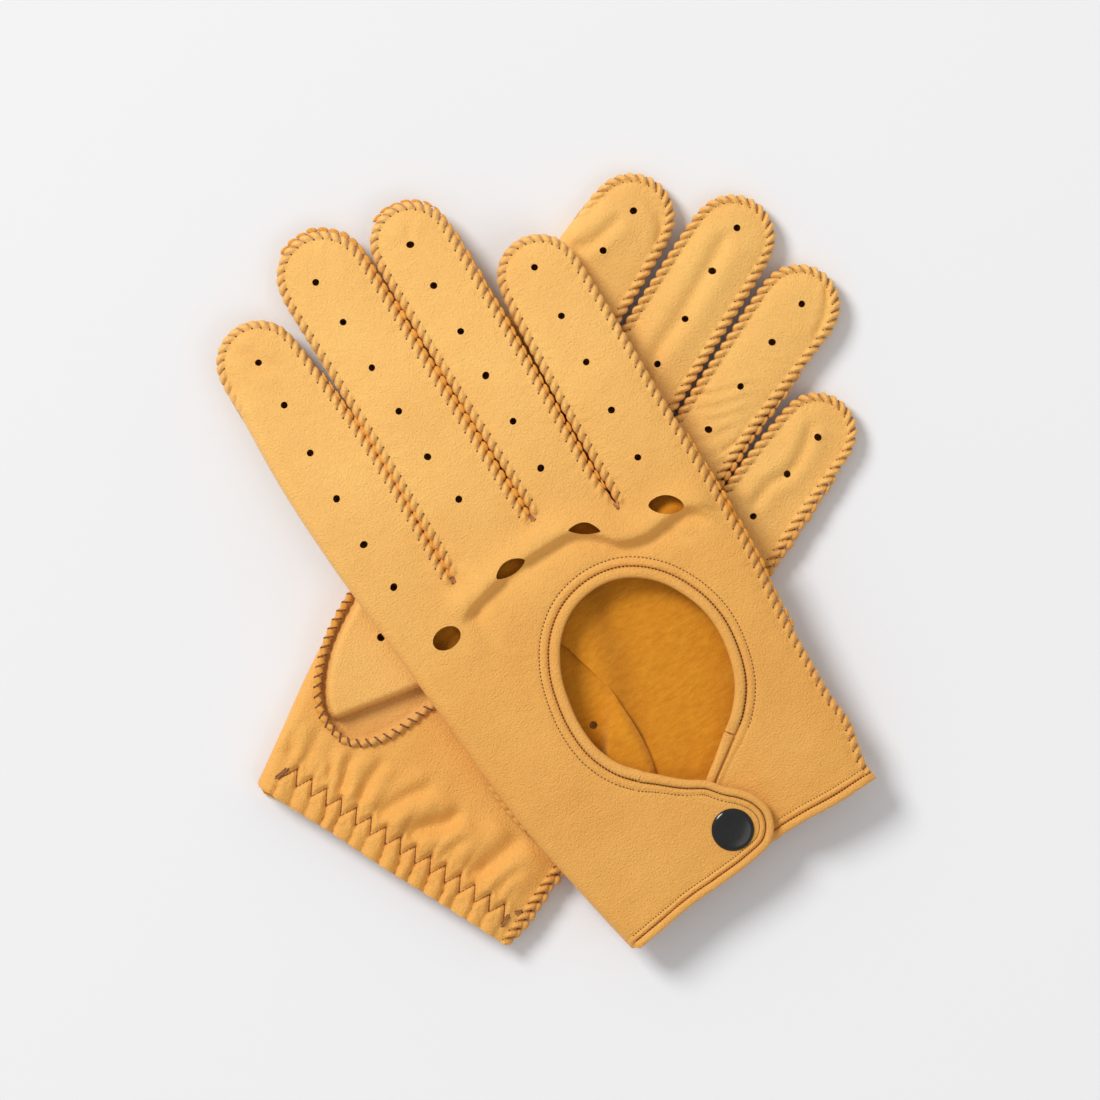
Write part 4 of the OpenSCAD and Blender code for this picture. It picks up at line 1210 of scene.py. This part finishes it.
def fourchette(glove, i, part):
    """The side wall between two fingers, from one tip down round the crotch and up to the next."""
    line = glove.closing
    f, g = glove.fingers[i], glove.fingers[i + 1]
    first = line.place_of((f[6] + f[8], f[7] - 4))
    last = line.place_of((g[6] - g[8], g[7] - 4))
    s = np.arange(first, last, 0.9 * COARSE)
    edge = line.value("edge", s)
    levels = np.array([1, 0.5, 0, -0.5, -1])
    inset = np.array([0.45, 0.75, 0.9, 0.75, 0.45])
    n, m = len(s), 2 * len(levels)
    walls = []
    for thick, order in ((0.0, slice(None)), (0.85, slice(None, None, -1))):
        flat = line.at(np.repeat(s, 5), np.tile(inset[order] + thick, n))
        h = (edge[:, None] - 0.35).clip(0.25) * levels[order][None, :]
        walls.append(glove.strands(1, flat, h))
    plan = np.column_stack([np.repeat(s, m), np.tile(np.arange(m) * 1.0, n), np.full(n * m, 80.0)])
    # painted shade over the whole wall, which lies down in the gap between the fingers
    obj = loft(glove.name + "_" + part + "_leather", np.concatenate(walls, axis=1).reshape(-1, 3), m,
               leather, crisp=False, plan=plan, groove=np.ones(n * m))
    return finish(obj, glove, [part])


def thumb_seam(glove):
    """The thick overcast rope that joins the thumb to the palm, and its stitches."""
    line, side, sides = glove.thumb_rope, glove.palm_side, 12
    s = np.arange(0, line.s[-1], 0.3 * COARSE)
    turns = np.linspace(0, 2 * np.pi, sides, endpoint=False)
    wave = np.sin(np.pi * (s[:, None] - 1.5 + 0.55 * np.cos(turns)[None, :]) / THUMB_PITCH)
    size = 0.56 + 0.62 * np.abs(wave) ** 0.6 + 0.12 * value_noise(s, s * 0, 3.1, 51)[:, None]
    rise = 0.55 if side > 0 else 1.0
    base = glove.plain_palm(line.at(s, -1.0))
    flat = line.at(np.repeat(s, sides), (0.1 + size * np.cos(turns)[None, :]).ravel())
    h = (base[:, None] + rise + 0.95 * size * np.sin(turns)[None, :]).ravel()
    tan = np.where(glove.back_up, 0.4, 0.15 + step_up(0.35, 0.6, s / line.s[-1]) * 0.65)
    rope = loft(glove.name + "_thumb_rope", glove.row(flat, side * h), sides, raw, side < 0,
                tan=np.repeat(tan, sides))
    finish(rope, glove, [])
    s0 = np.arange(1.5, line.s[-1] - 1, THUMB_PITCH)
    t = np.linspace(-1, 1, 9)
    s = s0[:, None] + 0.75 * t[None, :]
    flat = line.at(s.ravel(), np.tile(0.1 + 1.05 * t, len(s0)))
    over = np.sqrt(np.clip(1 - (t * 0.95) ** 2, 0, 1))
    h = glove.plain_palm(line.at(s0, -1.0))[:, None] + rise + 0.84 * over[None, :]
    # painted shade at each stitch's ends, where it sinks into the leather
    obj = tubes(glove.name + "_thumb_stitches", glove.strands(side, flat, h), 0.34, seam_thread,
                end=[1, 0.6, 0, 0, 0, 0, 0, 0.6, 1])
    return finish(obj, glove, ["thumb_thread"])


def elastic(glove):
    """The elastic band inside the wrist, and the zigzag seam that holds it."""
    x, y = np.arange(-40, 40.01, 0.8), np.linspace(3.2, 9.2, 7)
    flat = grid(x, y)
    ruffle = 0.35 * np.abs(np.sin(np.pi * (flat[:, 0] - ZIGZAG["first"]) / ZIGZAG["pitch"]))
    top = glove.plain_palm(flat) - LEATHER - 0.75 + ruffle
    cols, rows = len(x), len(y)
    a = (np.arange(rows - 1)[:, None] * cols + np.arange(cols - 1)[None, :]).ravel()
    tris = np.vstack([np.column_stack([a, a + 1, a + cols + 1]),
                      np.column_stack([a, a + cols + 1, a + cols])])
    band = shell(glove.name + "_elastic_band", glove, glove.palm_side, flat, tris, top, top - 0.6,
                 [webbing, webbing, webbing])
    finish(band, glove, ["elastic"])
    s0 = np.arange(0.05, zigzag_line.s[-1] - 2.0, ZIGZAG_STEP)
    s = s0[:, None] + np.linspace(0, 1, 7)[None, :] * ZIGZAG_STITCH
    flat = zigzag_line.at(s.ravel())
    h = glove.palm(flat).reshape(s.shape) + 0.12
    h[:, [0, -1]] -= 0.14
    # painted shade at each stitch's ends, where it sinks into the leather
    seam = tubes(glove.name + "_elastic_seam", glove.strands(glove.palm_side, flat, h), 0.21,
                 seam_thread, sides=5, end=[0.3, 0, 0, 0, 0, 0, 0.3])
    finish(seam, glove, ["elastic_thread"])


def snap_cap(glove):
    """The snap's black cap: a low dome inside a rolled rim, from its profile's radii and heights."""
    profile = [(0, 1.1), (1.6, 1.09), (3.2, 1.06), (4.3, 1.01), (4.8, 0.97), (4.95, 0.95),
               (5.1, 0.95), (5.35, 0.87), (5.6, 0.76), (5.85, 0.63), (6.1, 0.44), (6.27, 0.2),
               (6.2, -0.1), (5.6, -0.25), (0, -0.25)]
    segments = 72
    turns = np.linspace(0, 2 * np.pi, segments, endpoint=False)
    base = glove.plain_strap(np.array([SNAP], float))[0] - 0.1
    rings = [np.column_stack([SNAP[0] + r * np.cos(turns), SNAP[1] + r * np.sin(turns),
                              np.full(segments, z)]) for r, z in profile[1:-1]]
    verts = np.vstack([(*SNAP, profile[0][1])] + rings + [(*SNAP, profile[-1][1])])
    faces = [[0, 1 + k, 1 + (k + 1) % segments] for k in range(segments)]
    for i in range(len(rings) - 1):
        a, b = 1 + i * segments, 1 + (i + 1) * segments
        faces += [[a + k, b + k, b + (k + 1) % segments, a + (k + 1) % segments]
                  for k in range(segments)]
    last, a = len(verts) - 1, 1 + (len(rings) - 1) * segments
    faces += [[last, a + (k + 1) % segments, a + k] for k in range(segments)]
    if glove.back_side < 0:
        faces = [f[::-1] for f in faces]
    points = glove.row(verts[:, :2], glove.back_side * (base + verts[:, 2]))
    obj = new_object(glove.name + "_snap", points, faces, [black])
    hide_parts(glove.name + "_snap_cap")
    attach(obj, glove.strap_body)


def seams(glove):
    edge, name, fingers = glove.closing, glove.name, glove.fingers
    side_start = edge.place_of((fingers[3][6] + 1, fingers[3][7] + fingers[3][8]))
    start = edge.place_of(glove.fold[-1]) + 4
    crotches = [((f[1] + f[2] + g[1] - g[2]) / 2, y - 0.4, 82, 2.6)
                for f, g, y in zip(fingers[:-1], fingers[1:], CROTCHES)]
    for side, height, part, nodes in (
            (glove.back_side, glove.back, "back", (["finger_thread"], ["side_thread"])),
            (glove.palm_side, glove.palm, "palm", ([], []))):
        piece = f"{name}_{part}"
        overcast(glove, side, height, piece + "_finger_stitches", nodes[0], start, side_start)
        overcast(glove, side, height, piece + "_side_stitches", nodes[1], side_start,
                 edge.place_of(glove.last_stitch))
        lozenges(glove, side, piece + "_raw_edges")
        tacks(glove, side, height, piece + "_crotch_tacks", crotches)
    tacks(glove, glove.palm_side, glove.palm, name + "_wrist_tacks", WRIST_TACKS)


def bindings(glove):
    left, right, name = glove.left_bound, glove.right_bound, glove.name
    key_start, key_end = right.place_of((15.2, 36.4)), right.s[-1]
    flap_start = right.place_of((4, 1.7))
    strap_start, strap_end = left.place_of(KEYHOLE[-1]), left.place_of(STRAP_CORNER)
    for line, height, part, first, last, nodes in (
            (right, glove.plain_back, "keyhole_roll", key_start, key_end, ["keyhole_binding"]),
            (right, glove.plain_back, "flap_roll", flap_start, key_start - 0.5, ["tongue_binding"]),
            (right, glove.plain_back, "wrist_roll_right", 0, flap_start - 0.1, ["wrist_binding"]),
            (left, glove.plain_strap, "strap_roll", strap_start, strap_end, ["strap_binding"]),
            (left, glove.plain_strap, "wrist_roll_left", strap_end, left.s[-1], [])):
        bead(glove, line, height, f"{name}_{part}", first, last, nodes, part == "strap_roll")
    for kind, row in (("seam", (SEAM_INSET, 0.22, 0.04)), ("topstitch", (TOPSTITCH_INSET, 0.17, 0.0))):
        keyhole_nodes, strap_nodes = (["edge_thread"], ["strap_thread"]) if kind == "seam" else ([], [])
        stitch_row(glove, right, glove.back, f"{name}_keyhole_{kind}", row, key_start + 3, key_end,
                   keyhole_nodes)
        stitch_row(glove, right, glove.back, f"{name}_wrist_{kind}_right", row, 0.5,
                   right.place_of((14, 1.7)), [])
        stitch_row(glove, left, glove.strap_top, f"{name}_strap_{kind}", row, strap_start, strap_end,
                   strap_nodes, strap=True)
        stitch_row(glove, left, glove.strap_top, f"{name}_wrist_{kind}_left", row, strap_end,
                   left.s[-1] - 0.5, [])


def build(glove):
    palm = palm_leaf(glove)
    back = back_leaf(glove)
    flap = strap(glove)
    thumb_piece = thumb(glove)
    for i, part in enumerate(("index_middle", "middle_ring", "ring_little")):
        fourchette(glove, i, "fourchette_" + part)
    seams(glove)
    bindings(glove)
    thumb_seam(glove)
    elastic(glove)
    snap_cap(glove)
    for part in ("snap_socket", "snap_stud", "snap_post"):
        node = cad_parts[glove.name + "_" + part]
        node.data.materials.clear()
        node.data.materials.append(steel)


# ---------------------------------------------------------------- the studio

def studio():
    """A pale table, one large soft light from the upper left, a weak fill, and the camera overhead."""
    scene = bpy.context.scene
    scene.view_settings.view_transform = "Standard"
    centre = np.array([1.3, 3.8]) * MM
    verts = [(x, y, -0.02) for x, y in ((-1500, -1500), (1500, -1500), (1500, 1500), (-1500, 1500))]
    floor = new_object("table", verts, [(0, 1, 2, 3)], [table_material()])

    def area(name, place, size, power):
        data = bpy.data.lights.new(name, "AREA")
        data.shape, data.size, data.energy = "DISK", size, power
        lamp = bpy.data.objects.new(name, data)
        lamp.location = place
        lamp.rotation_euler = (-Vector(place)).to_track_quat("-Z", "Y").to_euler()
        scene.collection.objects.link(lamp)

    area("key", (-3.0, 2.7, 3.7), 2.1, 214)
    area("fill", (1.5, -1.2, 2.6), 1.8, 9)
    world = bpy.data.worlds.new("studio")
    world.use_nodes = True
    world.node_tree.nodes["Background"].inputs["Color"].default_value = (1, 1, 1, 1)
    world.node_tree.nodes["Background"].inputs["Strength"].default_value = 0.475
    scene.world = world
    data = bpy.data.cameras.new("camera")
    data.sensor_width, data.lens = 36, 200.4
    camera = bpy.data.objects.new("camera", data)
    camera.location = (centre[0], centre[1], 1.81)
    scene.collection.objects.link(camera)
    scene.camera = camera


studio()
for glove_name in ("left", "right"):
    build(Glove(glove_name))
